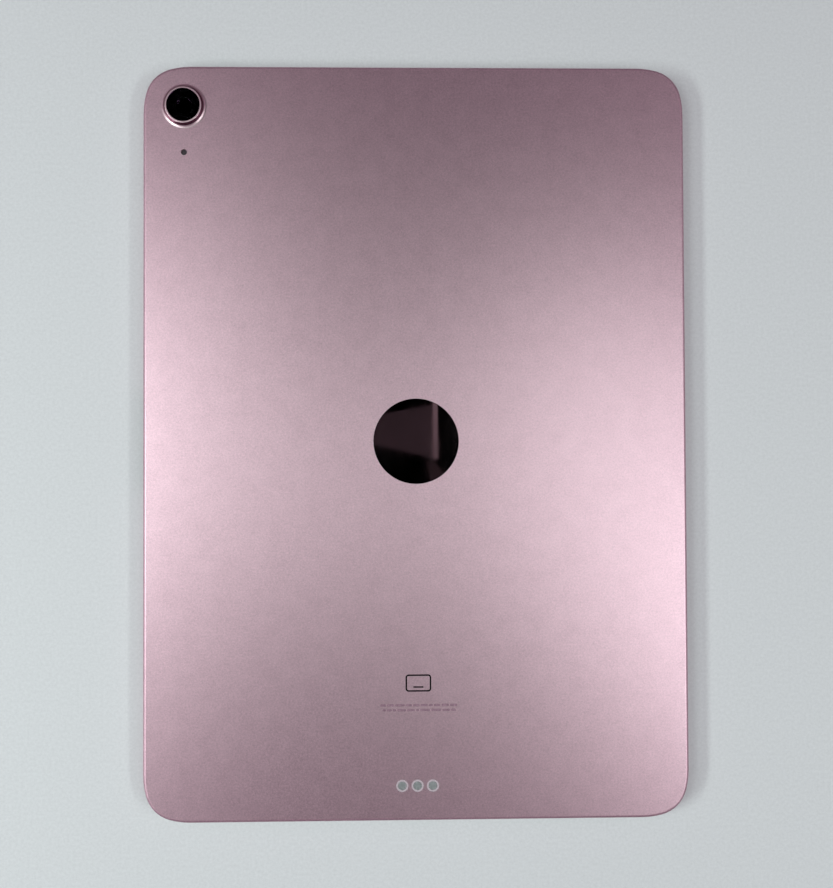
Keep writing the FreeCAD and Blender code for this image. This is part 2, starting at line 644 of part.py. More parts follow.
def display_stack():
    """Cover glass, black border, display panel, and the glue and frame that hold them."""
    glass = plate("cover_glass", [(outline_loop, "glass_inset")], "0", "glass_thick")
    round_edges(glass, glass.Tip, edges_at(glass.Tip, 0), "glass_edge", "Chamfer")
    active = (rounded_loop, "active_width", "active_height", "active_corner")
    plate("bezel_mask", [(outline_loop, "glass_inset + 2 * fine_gap"), active,
                         (circle_loop, "front_eye_radius", "0", "front_up")], "glass_thick", "mask_thick")
    plate("display_frame", [(outline_loop, "frame_inset + fine_gap / 2"),
                            (outline_loop, "glass_inset - fine_gap / 2")],
          "rim_level", "ledge_level - rim_level")
    plate("display_adhesive", [(outline_loop, "glue_inset"), (outline_loop, "glue_inset + glue_width")],
          "glass_thick + mask_thick", "ledge_level - glass_thick - mask_thick")
    inner = "active_width - 2 * fine_gap", "active_height - 2 * fine_gap", "active_corner"
    plate("optical_adhesive", [(rounded_loop, *inner)], "glass_thick", "2 * mask_thick")
    panel = (rounded_loop, "active_width + 2 * panel_margin", "active_height + 2 * panel_margin",
             "active_corner")
    level = "glass_thick + 2 * mask_thick"
    plate("lcd_cell", [panel], level, "cell_thick")
    plate("backlight_unit", [panel], f"{level} + cell_thick", "light_thick")
    holes = [(slot_loop, "tray_slot_long", "tray_slot_high", f"{k} * tray_slot_pitch", "tray_slot_up")
             for k in (-2, -1, 1, 2)]
    plate("display_tray", [panel, *holes], f"{level} + cell_thick + light_thick", "tray_thick")


def display_flex():
    """The display's ribbon: a flat run on the tray, a rise, and the plug under the logic board."""
    low, reach = "inner_low", "display_flex_up - display_flex_long / 2"
    run = box("display_ribbon", "0", "display_flex_up", low, "display_flex_wide", "display_flex_long",
              "ribbon_thick")
    rise = box("display_riser", "0", f"{reach} + ribbon_thick / 2", low, "display_flex_wide", "ribbon_thick",
               "board_level - inner_low - plug_tall / 2")
    plug = box("display_plug", "0", f"{reach} + plug_long / 2", "board_level - plug_tall",
               "display_flex_wide", "plug_long", "plug_tall")
    node(fuse("display_flex_parts", [run, rise, plug]), "display_flex")


# ---------------------------------------------------------------- battery

def battery():
    """Two flat pouch cells, their glue strips and the protection boards at their feet."""
    for side, name in ((-1, "battery_cell_left"), (1, "battery_cell_right")):
        body = new_body(name)
        sketch = new_sketch(body, name + "_outline", level="battery_level")
        rounded_loop(sketch, "cell", "battery_wide", "battery_long", "pouch_corner",
                     f"{side} * battery_across", "board_middle")
        pad(body, sketch, "battery_thick")
        top, foot = size("battery_level + battery_thick"), size("battery_level")
        round_edges(body, body.Tip, edges_at(body.Tip, top) + edges_at(body.Tip, foot), "pouch_edge")
        node(body, name)
    strips = [box(f"glue_strip{side + 1}{k}", f"{side} * battery_across + {k} * battery_wide / 4",
                  "board_middle", "battery_level + battery_thick", "glue_strip_wide", "glue_strip_long",
                  "overall_thick - back_wall - battery_level - battery_thick")
              for side in (-1, 1) for k in (-1, 1)]
    group("battery_adhesive_strips", strips)
    boards = []
    for side in (-1, 1):
        across = f"{side} * battery_across"
        foot = "board_middle - battery_long / 2 - guard_long / 2 - fine_gap"
        strip = box(f"guard_strip{side + 1}", across, foot, "board_level", "guard_wide", "guard_long",
                    "board_thick")
        chips = [box(f"guard_chip{side + 1}{k}", f"{across} + {k} * guard_chip_pitch", foot,
                     "board_level + board_thick", "guard_long", "guard_long / 2", "board_thick")
                  for k in (-2, 0, 2)]
        lead_across = f"{side} * (board_wide / 2 + guard_lead_long / 2 - guard_lap)"
        lead = box(f"guard_lead{side + 1}", lead_across, foot,
                   "board_level - ribbon_thick", "guard_lead_long", "guard_lead_wide", "ribbon_thick")
        boards.append(fuse(f"guard{side + 1}", [strip, lead, *chips]))
    group("battery_protection_boards", boards)


# ---------------------------------------------------------------- logic board

def screw_grid():
    """Places of the logic board's screws, as sides of the board's own size."""
    return [(sx, sy) for sx in (-1, 1) for sy in (-1, 0, 1)]


def screw_place(sx, sy):
    return (f"{sx} * (board_wide / 2 - board_screw_in)",
            f"board_middle + {sy} * (board_long / 2 - board_screw_in)")


def logic_board():
    holes = [(circle_loop, "screw_shank + fine_gap", *screw_place(sx, sy)) for sx, sy in screw_grid()]
    outline = (rounded_loop, "board_wide", "board_long", "board_corner", "0", "board_middle")
    plate("logic_board", [outline, *holes], "board_level", "board_thick")


def can(label, wide, long, up, low, tall, open_below):
    """A folded sheet metal lid over part of the board, open on the board's side."""
    body = new_body(label)
    outer = new_sketch(body, label + "_outer", level=low)
    rounded_loop(outer, "outer", wide, long, "can_corner", "0", up)
    pad(body, outer, tall)
    inner = new_sketch(body, label + "_inner", level=low if open_below else f"{low} + {tall}")
    rounded_loop(inner, "inner", f"{wide} - 2 * can_skin", f"{long} - 2 * can_skin", "can_corner - can_skin",
                 "0", up)
    pocket(body, inner, f"{tall} - can_skin", up=open_below)
    return node(body, label)


def board_parts():
    """What the logic board carries: lids, chips, screws and posts."""
    top = "board_level + board_thick"
    can("logic_shield_rear", "can_wide", "can_long", "board_middle", top, "can_tall", True)
    can("logic_shield_front", "can_wide", "front_can_long", "board_middle - (can_long - front_can_long) / 2",
        "board_level - front_can_tall", "front_can_tall", False)
    processor = box("processor_die", "0", "chip_up", top, "processor_wide", "processor_wide",
                    "processor_tall")
    node(soften("processor_rounded", processor, "can_skin"), "processor_chip")
    chips = []
    for k in range(MEMORY_CHIPS):
        chips.append(box(f"memory{k}", "0", f"chip_up - {k + 1} * memory_pitch", top, "memory_wide",
                         "memory_long", "memory_tall"))
    for k in range(SMALL_CHIPS):
        side = -1 if k % 2 else 1
        chips.append(box(f"small_chip{k}", f"{side} * small_chip_across", f"chip_up - {k} * small_pitch", top,
                         "small_chip", "small_chip", "small_chip_tall"))
        chips.append(box(f"front_chip{k}", f"{-side} * front_chip_across", f"board_middle - {k} * small_pitch",
                         "board_level - small_tall", "small_chip", "front_chip_long", "small_tall"))
    group("board_chips", chips)
    posts, screws = [], []
    for k, (sx, sy) in enumerate(screw_grid()):
        x, y = screw_place(sx, sy)
        solid = cylinder(f"standoff{k}", x, y, top, "post_radius",
                         "overall_thick - back_wall - board_level - board_thick")
        bore = cylinder(f"standoff_bore{k}", x, y, top, "screw_shank + fine_gap", "screw_bore_deep")
        posts.append(cut(f"post{k}", solid, bore))
        screws.append(screw(f"board_screw{k}", x, y, "board_level", "board_screw_long"))
    group("board_standoffs", posts)
    screws_inside.extend(screws)
    node(box("thermal_sheet_box", "0", "board_middle", f"{top} + can_tall + fine_gap", "thermal_wide",
             "thermal_long", f"overall_thick - back_wall - ({top}) - can_tall - fine_gap"), "thermal_sheet")


def screw(name, x, y, seat, long):
    """A flat-headed screw that enters upwards: its head is below the seat. Its socket is a plain hexagon."""
    head = cylinder(name + "_head", x, y, f"{seat} - screw_head_tall", "screw_head", "screw_head_tall")
    shank = cylinder(name + "_shank", x, y, f"{seat} - screw_head_tall / 2", "screw_shank",
                     f"{long} + screw_head_tall / 2")
    socket = doc.addObject("Part::Prism", name + "_socket")
    socket.Polygon = 6
    for prop, text in (("Circumradius", "screw_shank"), ("Height", "screw_head_tall / 2"),
                       ("Placement.Base.x", x), ("Placement.Base.y", y),
                       ("Placement.Base.z", f"{seat} - screw_head_tall")):
        bind(socket, prop, text)
    return cut(name, fuse(name + "_solid", [head, shank]), socket)


# ---------------------------------------------------------------- speakers

def speaker(label, sx, sy):
    """A sealed plastic box with two ears, a recess for its cone and a mouth towards the slots."""
    body = new_body(label)
    outline = new_sketch(body, label + "_outline", level="0")
    rounded_loop(outline, "case", "speaker_wide", "speaker_long", "speaker_corner")
    pad(body, outline, "speaker_tall", "case")
    ears = new_sketch(body, label + "_ears", level="speaker_ear_level")
    for k in (-1, 1):
        rounded_loop(ears, f"ear{k + 1}", "ear_wide", "ear_long", "ear_round", f"{k} * ear_across",
                     "-speaker_up + ear_up + ear_long / 2 - ear_wide / 2")
    pad(body, ears, "ear_thick", "ears")
    drill = new_sketch(body, label + "_drill", level="speaker_ear_level")
    for k in (-1, 1):
        circle_loop(drill, f"hole{k + 1}", "screw_shank + fine_gap", f"{k} * ear_across",
                    "-speaker_up + ear_up")
    pocket(body, drill, "ear_thick", "screw_holes", up=True)
    cone = new_sketch(body, label + "_cone", level="0")
    rounded_loop(cone, "cone", "cone_wide", "cone_long", "cone_corner")
    pocket(body, cone, "cone_deep", "cone_recess", up=True)
    mouth = new_sketch(body, label + "_mouth", "XZ_Plane", "-speaker_long / 2")
    rounded_loop(mouth, "mouth", "mouth_wide", "mouth_high", "mouth_high / 3", "0", "speaker_tall / 2")
    pocket(body, mouth, "mouth_deep", "mouth", up=True)
    body.Placement.Rotation = Rotation(Vector(0, 0, 1), 0 if sy > 0 else 180)
    bind(body, "Placement.Base.x", f"{sx} * speaker_across")
    bind(body, "Placement.Base.y", f"{sy} * speaker_up")
    bind(body, "Placement.Base.z", "speaker_level")
    return node(body, label)


def speakers():
    cones, screws = [], []
    for sx, side in ((-1, "left"), (1, "right")):
        for sy, end in ((1, "top"), (-1, "bottom")):
            speaker(f"speaker_{end}_{side}", sx, sy)
            x, y = f"{sx} * speaker_across", f"{sy} * speaker_up"
            flat = box(f"cone_{end}_{side}", x, y, "speaker_level + cone_deep / 2", "cone_wide - 2 * fine_gap",
                       "cone_long - 2 * fine_gap", "cone_thick")
            cones.append(soften(f"cone_{end}_{side}_rounded", flat, "cone_corner"))
            meshes.append(box(f"mesh_{end}_{side}", x, f"{sy} * (overall_height / 2 - side_wall - mesh_thick)",
                              "port_level - mesh_high / 2", "speaker_wide", "mesh_thick", "mesh_high"))
    for k, (sx, sy, dx) in enumerate(speaker_screw_places()):
        screws.append(screw(f"speaker_screw{k}", f"{sx} * speaker_across + {dx} * ear_across",
                            f"{sy} * ear_up",
                            "speaker_level + speaker_ear_level", "ear_thick + fine_gap"))
    group("speaker_diaphragms", cones)
    screws_inside.extend(screws)


# ---------------------------------------------------------------- charging port

def charging_port():
    """A flat round-ended socket with a contact tongue, clamped to two posts by a bracket."""
    shell = new_body("port_shell")
    face = new_sketch(shell, "shell_outline", "XZ_Plane", "overall_height / 2 - port_set_back")
    slot_loop(face, "shell", "port_wide - 2 * fine_gap", "port_high - 2 * fine_gap", "0", "port_level")
    pad(shell, face, "port_deep", "shell", back=True)
    opening = new_sketch(shell, "shell_opening", "XZ_Plane", "overall_height / 2 - port_set_back")
    slot_loop(opening, "opening", "port_wide - 2 * port_skin", "port_high - 2 * port_skin", "0", "port_level")
    pocket(shell, opening, "port_deep - port_skin * 2", "opening")
    node(shell, "usb_port_shell")
    back = "-overall_height / 2 + port_set_back + port_deep - port_skin * 2"
    tongue = box("tongue_box", "0", f"{back} - tongue_long / 2", "port_level - tongue_thick / 2",
                 "tongue_wide",
                 "tongue_long", "tongue_thick")
    node(soften("tongue_rounded", tongue, "tongue_corner"), "usb_port_tongue")
    pins = [box(f"pin{side + 1}_{k}", f"({k} - {PORT_PINS - 1} / 2) * pin_pitch", f"{back} - tongue_long / 2",
                f"port_level + {side} * (tongue_thick / 2 + pin_thick / 2) - pin_thick / 2", "pin_pitch / 2",
                "pin_long", "pin_thick") for side in (-1, 1) for k in range(PORT_PINS)]
    group("usb_port_contacts", pins)
    seat = "port_post_foot - bracket_thick"
    strap = box("port_strap", "0", "-port_screw_up", seat, "2 * port_screw_across + 2 * post_radius",
                "strap_long", "bracket_thick - fine_gap")
    for k in (-1, 1):
        hole = cylinder(f"strap_hole{k + 1}", f"{k} * port_screw_across", "-port_screw_up", seat,
                        "screw_shank + fine_gap", "bracket_thick")
        strap = cut(f"strap_cut{k + 1}", strap, hole)
    node(strap, "usb_port_bracket")
    for k in (-1, 1):
        screws_inside.append(screw(f"port_screw{k + 1}", f"{k} * port_screw_across", "-port_screw_up", seat,
                                   "bracket_thick - 2 * fine_gap"))
    foot = "-overall_height / 2 + port_set_back + port_deep + fine_gap"
    end = "board_middle - board_long / 2 + plug_long"
    ribbon = box("port_ribbon", "0", f"({foot} + {end}) / 2", "board_level - ribbon_thick", "port_flex_wide",
                 f"{end} - ({foot})", "ribbon_thick")
    stub = box("port_stub", "0", f"{foot} + port_stub_long / 2", "port_level - port_stub_high / 2",
               "port_flex_wide", "port_stub_long", "port_stub_high")
    plug = box("port_plug", "0", f"{end} - plug_long / 2", "board_level - plug_tall", "port_flex_wide",
               "plug_long", "plug_tall")
    node(fuse("port_flex_parts", [ribbon, stub, plug]), "usb_flex")


# ---------------------------------------------------------------- buttons

def button_cap(body, role, face, long, high, flange_extra, middle):
    """A round-ended bar that passes through the wall, with a wider flange inside that stops it falling out.

    The plane at face is the button's outer face, and its normal points into the tablet."""
    outer = new_sketch(body, body.Name + "_outline", role, face)
    slot_loop(outer, "bar", long, high, middle, "port_level")
    bar = pad(body, outer, "button_proud + side_wall + flange_gap + button_flange", "bar")
    round_edges(body, bar, flat_edges(bar, role, size(face)), "button_edge")
    wide = new_sketch(body, body.Name + "_flange", role, f"{face} + button_proud + side_wall + flange_gap")
    slot_loop(wide, "flange", f"{long} + {flange_extra}", f"{high} + flange_extra_high", middle, "port_level")
    pad(body, wide, "button_flange", "flange")


def flat_edges(feature, role, offset):
    """Edges that lie in a plane parallel to an origin plane, at this distance along its normal."""
    axis, way = {"XZ_Plane": (1, -1), "YZ_Plane": (0, 1)}[role]
    found = []
    for k, edge in enumerate(feature.Shape.Edges, 1):
        bounds = edge.BoundBox
        low = (bounds.XMin, bounds.YMin, bounds.ZMin)[axis]
        high = (bounds.XMax, bounds.YMax, bounds.ZMax)[axis]
        if max(abs(low - way * offset), abs(high - way * offset)) < 1e-4:
            found.append(f"Edge{k}")
    return found


def top_button():
    """The top button, whose face is a dark fingerprint window in a metal surround."""
    face = "-(overall_height / 2 + button_proud)"
    cap = new_body("top_cap")
    button_cap(cap, "XZ_Plane", face, "top_long", "top_high", "top_flange_extra", "-top_across")
    seat = new_sketch(cap, "window_seat", "XZ_Plane", face)
    slot_loop(seat, "seat", "top_long - 2 * window_rim", "top_high - 2 * window_rim", "-top_across",
              "port_level")
    pocket(cap, seat, "window_deep", "seat", up=True)
    node(cap, "top_button_cap")
    glass = new_body("window_glass")
    shape = new_sketch(glass, "window_outline", "XZ_Plane", f"{face} + fine_gap")
    slot_loop(shape, "window", "top_long - 2 * window_rim - 2 * fine_gap",
              "top_high - 2 * window_rim - 2 * fine_gap", "-top_across", "port_level")
    pad(glass, shape, "window_deep / 2")
    node(glass, "fingerprint_window")
    node(box("sensor_box", "-top_across", "overall_height / 2 + button_proud - window_deep * 0.75 - fine_gap",
             "port_level - top_high / 4", "sensor_long", "window_deep / 2 - 2 * fine_gap", "top_high / 2"),
         "fingerprint_sensor")
    base = "overall_height / 2 - side_wall - flange_gap - button_flange - fine_gap"
    dome("top_button_dome", "-top_across", base, (0, -1, 0))
    plate_y = f"{base} - dome_tall"
    back = box("top_backing", "-top_across", f"{plate_y} - bracket_thick / 2",
               "port_level - top_bracket_high / 2", "top_bracket_long", "bracket_thick", "top_bracket_high")
    foot = box("top_bracket_foot", "-top_across", f"{plate_y} - bracket_thick - bracket_foot / 2",
               "port_level - top_bracket_high / 2", "top_bracket_long", "bracket_foot", "bracket_thick")
    node(fuse("top_bracket_parts", [back, foot]), "top_button_bracket")


def dome(label, x, y, way):
    """A domed snap disc whose crown faces the button. Its foot is dome_tall beyond the given crown point."""
    ball = "(dome_radius * dome_radius + dome_tall * dome_tall) / (2 * dome_tall)"
    disc = cylinder(label + "_disc", x, y, "port_level", "dome_radius", "dome_tall", way)
    sphere = doc.addObject("Part::Sphere", label + "_ball")
    bind(sphere, "Radius", ball)
    bind(sphere, "Placement.Base.x", f"{x} + {way[0]} * {ball}")
    bind(sphere, "Placement.Base.y", f"{y} + {way[1]} * {ball}")
    bind(sphere, "Placement.Base.z", "port_level")
    made = doc.addObject("Part::Common", label + "_cap")
    made.Base = disc
    made.Tool = sphere
    node(made, label)


def volume_buttons():
    face = "-(overall_width / 2 + button_proud)"
    crown = "-overall_width / 2 + side_wall + flange_gap + button_flange + fine_gap"
    for name in ("volume_up", "volume_down"):
        cap = new_body(name + "_bar")
        button_cap(cap, "YZ_Plane", face, "volume_long", "volume_high", "volume_flange_extra", name + "_at")
        node(cap, name + "_cap")
        dome(name + "_dome", crown, name + "_at", (1, 0, 0))
    middle = "(volume_up_at + volume_down_at) / 2"
    span = "volume_up_at - volume_down_at + volume_long"
    base = f"{crown} + dome_tall"
    back = box("volume_backing", f"{base} + bracket_thick / 2", middle, "port_level - volume_bracket_high / 2",
               "bracket_thick", span, "volume_bracket_high")
    foot = box("volume_bracket_foot", f"{base} + bracket_thick + bracket_foot / 2", middle,
               "port_level - volume_bracket_high / 2", "bracket_foot", span, "bracket_thick")
    node(fuse("volume_bracket_parts", [back, foot]), "volume_bracket")
    rest = f"({base} + bracket_thick + fine_gap)"
    wall = box("volume_flex_wall", f"{rest} + ribbon_thick / 2", middle, "port_level - volume_flex_below",
               "ribbon_thick", span, "overall_thick - back_wall - fine_gap - port_level + volume_flex_below")
    run = box("volume_flex_run", f"({rest} - board_wide / 2 + plug_long) / 2", "volume_flex_up",
              "overall_thick - back_wall - fine_gap - ribbon_thick", f"-board_wide / 2 + plug_long - {rest}",
              "volume_flex_wide", "ribbon_thick")
    plug = box("volume_plug", "-board_wide / 2 + plug_long / 2", "volume_flex_up", "board_level + board_thick",
               "plug_long", "volume_flex_wide",
               "overall_thick - back_wall - fine_gap - board_level - board_thick")
    node(fuse("volume_flex_parts", [wall, run, plug]), "volume_flex")


# ---------------------------------------------------------------- rear camera

def camera():
    """The raised ring and glass in the back, and the camera behind them whose lens barrel moves to focus."""
    ring = new_body("camera_ring")
    profile = new_sketch(ring, "ring_profile", "XZ_Plane")
    ring_profile(profile)
    turn = ring.newObject("PartDesign::Revolution", "ring_turn")
    turn.Profile = profile
    turn.ReferenceAxis = (profile, ["V_Axis"])
    bind(ring, "Placement.Base.x", "-camera_across")
    bind(ring, "Placement.Base.y", "camera_up")
    doc.recompute()
    node(ring, "camera_trim_ring")
    x, y = "-camera_across", "camera_up"
    top = "overall_thick + ring_rise"
    node(cylinder("lens_window_disc", x, y, f"{top} - fine_gap - lens_glass", "lens_window - fine_gap / 2",
                  "lens_glass"), "camera_cover_glass")
    case = box("housing_box", x, y, "housing_low", "housing_wide", "housing_wide",
               "overall_thick - back_wall - housing_drop - housing_low")
    neck = cylinder("housing_neck", x, y, "housing_low", "neck_radius",
                    f"{top} - lens_glass - neck_drop - housing_low")
    bore = cylinder("housing_bore", x, y, "barrel_low - fine_gap", "barrel_radius + barrel_gap", top)
    solid = fuse("housing_solid", [soften("housing_rounded", case, "can_corner / 2"), neck])
    node(cut("housing", solid, bore), "camera_housing")
    barrel = cylinder("barrel_body", x, y, "barrel_low", "barrel_radius", "barrel_tall")
    tube = cylinder("barrel_bore", x, y, "barrel_low", "barrel_radius - barrel_wall", "barrel_tall")
    node(cut("barrel", barrel, tube), "camera_lens_barrel")
    lenses = [cylinder(f"lens{k}", x, y, f"barrel_low + barrel_tall * {k + 0.5} / {LENSES} - lens_thick / 2",
                       "barrel_radius - barrel_wall - seat_gap", "lens_thick") for k in range(LENSES)]
    group("camera_lenses", lenses)
    camera_wiring(x, y)


def ring_profile(sketch):
    """Half section of the ring. From the back, a hollow sweeps up to a sloping side, which rounds over to a
    flat top."""
    top, inside = "overall_thick + ring_rise", "overall_thick - back_wall"
    foot, shelf = f"{inside} - flange_thick", f"{top} - lens_glass - 2 * fine_gap"
    lip = "lens_window - lens_lip"
    lean = "(1 - cos(ring_slope * 1 deg))"
    neck = "ring_radius - hollow_bend * sin(ring_slope * 1 deg)"
    neck_level = f"overall_thick + hollow_bend * {lean}"
    rim_level = f"{top} - rim_bend * {lean}"
    rim = f"{neck} - ({rim_level} - ({neck_level})) / tan(ring_slope * 1 deg)"
    crown = f"{rim} - rim_bend * sin(ring_slope * 1 deg)"
    section(sketch, [("ring_radius", "overall_thick"), ("ring_radius", inside), ("ring_flange", inside),
                     ("ring_flange", foot), (lip, foot), (lip, shelf), ("lens_window", shelf),
                     ("lens_window", top), (crown, top), (rim, rim_level), (neck, neck_level)],
            {8: (crown, f"{top} - rim_bend", True),
             10: ("ring_radius", "overall_thick + hollow_bend", False)})


def section(sketch, corners, bends):
    """A closed section through these corners. A bend is an arc after the corner of that number: its centre,
    and whether the section runs clockwise along it."""
    spots = [Vector(size(x), size(z), 0) for x, z in corners]
    first, count = sketch.GeometryCount, len(corners)
    for k, spot in enumerate(spots):
        after = spots[(k + 1) % count]
        if k in bends:
            x, z, clockwise = bends[k]
            centre = Vector(size(x), size(z), 0)
            ends = (after, spot) if clockwise else (spot, after)
            start, end = (math.atan2(p.y - centre.y, p.x - centre.x) for p in ends)
            circle = Part.Circle(centre, Vector(0, 0, 1), (spot - centre).Length)
            sketch.addGeometry(Part.ArcOfCircle(circle, start, end))
        else:
            sketch.addGeometry(Part.LineSegment(spot, after))
    for k, (x, z) in enumerate(corners):
        onward = (k + 1) % count
        entry = 2 if k in bends and bends[k][2] else 1
        leave = 1 if k in bends and bends[k][2] else 2
        next_entry = 2 if onward in bends and bends[onward][2] else 1
        sketch.addConstraint(Sketcher.Constraint("Coincident", first + k, leave, first + onward, next_entry))
        dimension(sketch, f"x{k}", x, "DistanceX", -1, 1, first + k, entry)
        dimension(sketch, f"z{k}", z, "DistanceY", -1, 1, first + k, entry)
        if k in bends:
            dimension(sketch, f"bend{k}", bends[k][0], "DistanceX", -1, 1, first + k, 3)


def camera_wiring(x, y):
    """The image sensor's board under the housing, and its ribbon to the logic board."""
    low = "housing_low - sensor_board_thick"
    board = box("sensor_board", x, y, low, "housing_wide", "housing_wide", "sensor_board_thick")
    drop = box("camera_ribbon_drop", f"{x} + camera_ribbon_across",
               f"({y} + camera_flex_up) / 2 - housing_wide / 8", low, "volume_flex_wide",
               f"{y} - camera_flex_up", "ribbon_thick")
    start, end = f"({x} + camera_ribbon_across - volume_flex_wide / 2)", "plug_long / 2"
    run = box("camera_ribbon_run", f"({start} + {end}) / 2", "camera_flex_up", low, f"{end} - {start}",
              "volume_flex_wide", "ribbon_thick")
    turn = box("camera_ribbon_turn", "0", f"(camera_flex_up + {BOARD_TOP} - plug_long) / 2", low,
               "volume_flex_wide", f"camera_flex_up - ({BOARD_TOP}) + plug_long + volume_flex_wide",
               "ribbon_thick")
    plug = box("camera_plug", "0", f"{BOARD_TOP} - plug_long / 2", low, "volume_flex_wide", "plug_long",
               f"board_level - ({low})")
    node(fuse("camera_wiring_parts", [board, drop, run, turn, plug]), "camera_sensor_board")


# ---------------------------------------------------------------- small pieces in the back and sides

def microphones():
    """Two microphone chips with a fine mesh each: behind the hole beside the camera and the top edge's."""
    rear_low = "overall_thick - back_wall - fine_gap - mic_tall"
    rear = box("rear_mic", "-camera_across", "mic_up", rear_low, "mic_wide", "mic_long", "mic_tall")
    top_y = "overall_height / 2 - side_wall - 2 * fine_gap - mesh_thick - mic_tall / 2"
    top = box("top_mic", "top_mic_across", top_y, "port_level - mic_long / 2", "mic_wide", "mic_tall",
              "mic_long")
    group("microphones", [rear, top])
    rear_mesh = cylinder("rear_mesh", "-camera_across", "mic_up", "overall_thick - back_wall + fine_gap",
                         "mic_radius - fine_gap", "mesh_thick")
    top_mesh = cylinder("top_mesh", "top_mic_across", "overall_height / 2 - side_wall + 2 * fine_gap",
                        "port_level",
                        "top_mic_radius - fine_gap / 2", "mesh_thick", (0, 1, 0))
    meshes.extend([rear_mesh, top_mesh])


def accessory_contacts():
    """Three round contacts in insulating rings, on a small board inside the back."""
    pads, rings = [], []
    inside = "overall_thick - back_wall"
    for k in (-1, 0, 1):
        x, y = f"{k} * pad_pitch", "-pad_up"
        pads.append(cylinder(f"pad{k + 1}", x, y, f"{inside} - fine_gap", "pad_radius",
                             "back_wall + fine_gap - pad_sunk"))
        ring = cylinder(f"pad_ring{k + 1}", x, y, inside, "pad_ring", "back_wall - fine_gap / 2")
        hole = cylinder(f"pad_hole{k + 1}", x, y, inside, "pad_radius + fine_gap / 5", "back_wall")
        rings.append(cut(f"insulator{k + 1}", ring, hole))
    group("connector_pads", pads)
    group("connector_insulators", rings)
    board = box("pad_board_flat", "0", "-pad_up", f"{inside} - fine_gap - board_thick", "pad_board_wide",
                "pad_board_long", "board_thick")
    node(soften("pad_board", board, "can_corner"), "connector_board")


def front_sensors():
    """The front camera and the light sensor, which look out through the black border."""
    level = "glass_thick + mask_thick + fine_gap"
    case = box("front_case", "0", "front_up", level, "front_wide", "front_wide", "front_tall")
    eye = cylinder("front_eye", "0", "front_up", level, "front_lens_radius", "front_tall / 2")
    body = cut("front_body", soften("front_rounded", case, "can_corner / 2"), eye)
    lens = cylinder("front_lens", "0", "front_up", f"{level} + lens_thick", "front_lens_radius - fine_gap",
                    "lens_thick")
    light = box("light_chip", "sensor_across", "front_up", level, "mic_wide", "mic_long", "mic_tall")
    group("front_camera_and_light_sensor", [body, lens, light])


def cover_magnets():
    """Rows of magnets along both long sides, with a gap on the left where the stylus charges."""
    bars = []
    for side in (-1, 1):
        for k in range(MAGNETS):
            place = k - (MAGNETS - 1) / 2
            beside_charger, beside_buttons = abs(place) < 1.5, place > 4.5
            if side < 0 and (beside_charger or beside_buttons):
                continue
            bars.append(box(f"magnet{side + 1}_{k}", f"{side} * magnet_across", f"{place} * magnet_pitch",
                            "battery_level", "magnet_wide", "magnet_long", "magnet_tall"))
    group("cover_magnets", bars)


def stylus_charger():
    """A window in the left side, with a flat coil and its core behind it."""
    face = "-overall_width / 2"
    window = new_body("charger_window")
    outline = new_sketch(window, "charger_outline", "YZ_Plane", face)
    slot_loop(outline, "window", "charger_long", "charger_high", "0", "port_level")
    pad(window, outline, "charger_deep")
    node(window, "stylus_charge_window")
    coil = new_body("coil")
    wound = new_sketch(coil, "coil_outline", "YZ_Plane", f"{face} + charger_deep + fine_gap")
    slot_loop(wound, "outer", "coil_long", "coil_high", "0", "port_level")
    slot_loop(wound, "inner", "coil_eye_long", "coil_eye_high", "0", "port_level")
    pad(coil, wound, "coil_thick")
    core = box("coil_core", f"{face} + charger_deep + coil_thick + 3 * fine_gap + core_thick / 2", "0",
               "port_level - core_high / 2", "core_thick", "core_long", "core_high")
    group("stylus_charge_coil", [coil, core])


def antennas():
    """Plastic carriers in the lower corners, each with a folded metal strip on top."""
    parts = []
    for side in (-1, 1):
        x, y = f"{side} * antenna_across", "-antenna_up"
        carrier = box(f"carrier{side + 1}", x, y, "battery_level", "antenna_wide", "antenna_long",
                      "antenna_tall")
        strip = box(f"strip{side + 1}", x, f"{y} - antenna_long / 5", "battery_level + antenna_tall",
                    "strip_wide", "antenna_long / 3", "ribbon_thick")
        stub = box(f"stub{side + 1}", f"{x} - {side} * antenna_wide / 4", f"{y} + antenna_long / 8",
                   "battery_level + antenna_tall", "antenna_long / 3", "antenna_long / 2", "ribbon_thick")
        parts.append(fuse(f"antenna{side + 1}", [carrier, strip, stub]))
    group("wireless_antennas", parts)


def emblem():
    """A plain polished disc let into the middle of the back."""
    disc = new_body("emblem_disc")
    face = new_sketch(disc, "emblem_outline", level="overall_thick - emblem_thick")
    circle_loop(face, "disc", "emblem_radius")
    pad(disc, face, "emblem_thick")
    node(disc, "rear_emblem")


def build():
    for make in (rear_enclosure, display_stack, display_flex, battery, logic_board, board_parts, speakers,
                 charging_port, top_button, volume_buttons, camera, microphones, accessory_contacts,
                 front_sensors, cover_magnets, stylus_charger, antennas, emblem):
        make()
    group("internal_screws", screws_inside)
    group("acoustic_meshes", meshes)
    doc.recompute()


def check():
    """Stops before anything is written if an object failed or a sub-part isn't a sound solid."""
    for thing in doc.Objects:
        if {"Invalid", "Error"} & set(thing.State):
            raise RuntimeError(f"{thing.Name} failed: {thing.State}")
    for thing in nodes:
        if thing.Shape.isNull() or not thing.Shape.isValid() or not thing.Shape.Solids:
            raise RuntimeError(f"{thing.Label} isn't a sound solid")


def export():
    os.makedirs("parts", exist_ok=True)
    for thing in nodes:
        thing.Shape.exportStep(f"parts/{thing.Label}.step")


build()
check()
export()
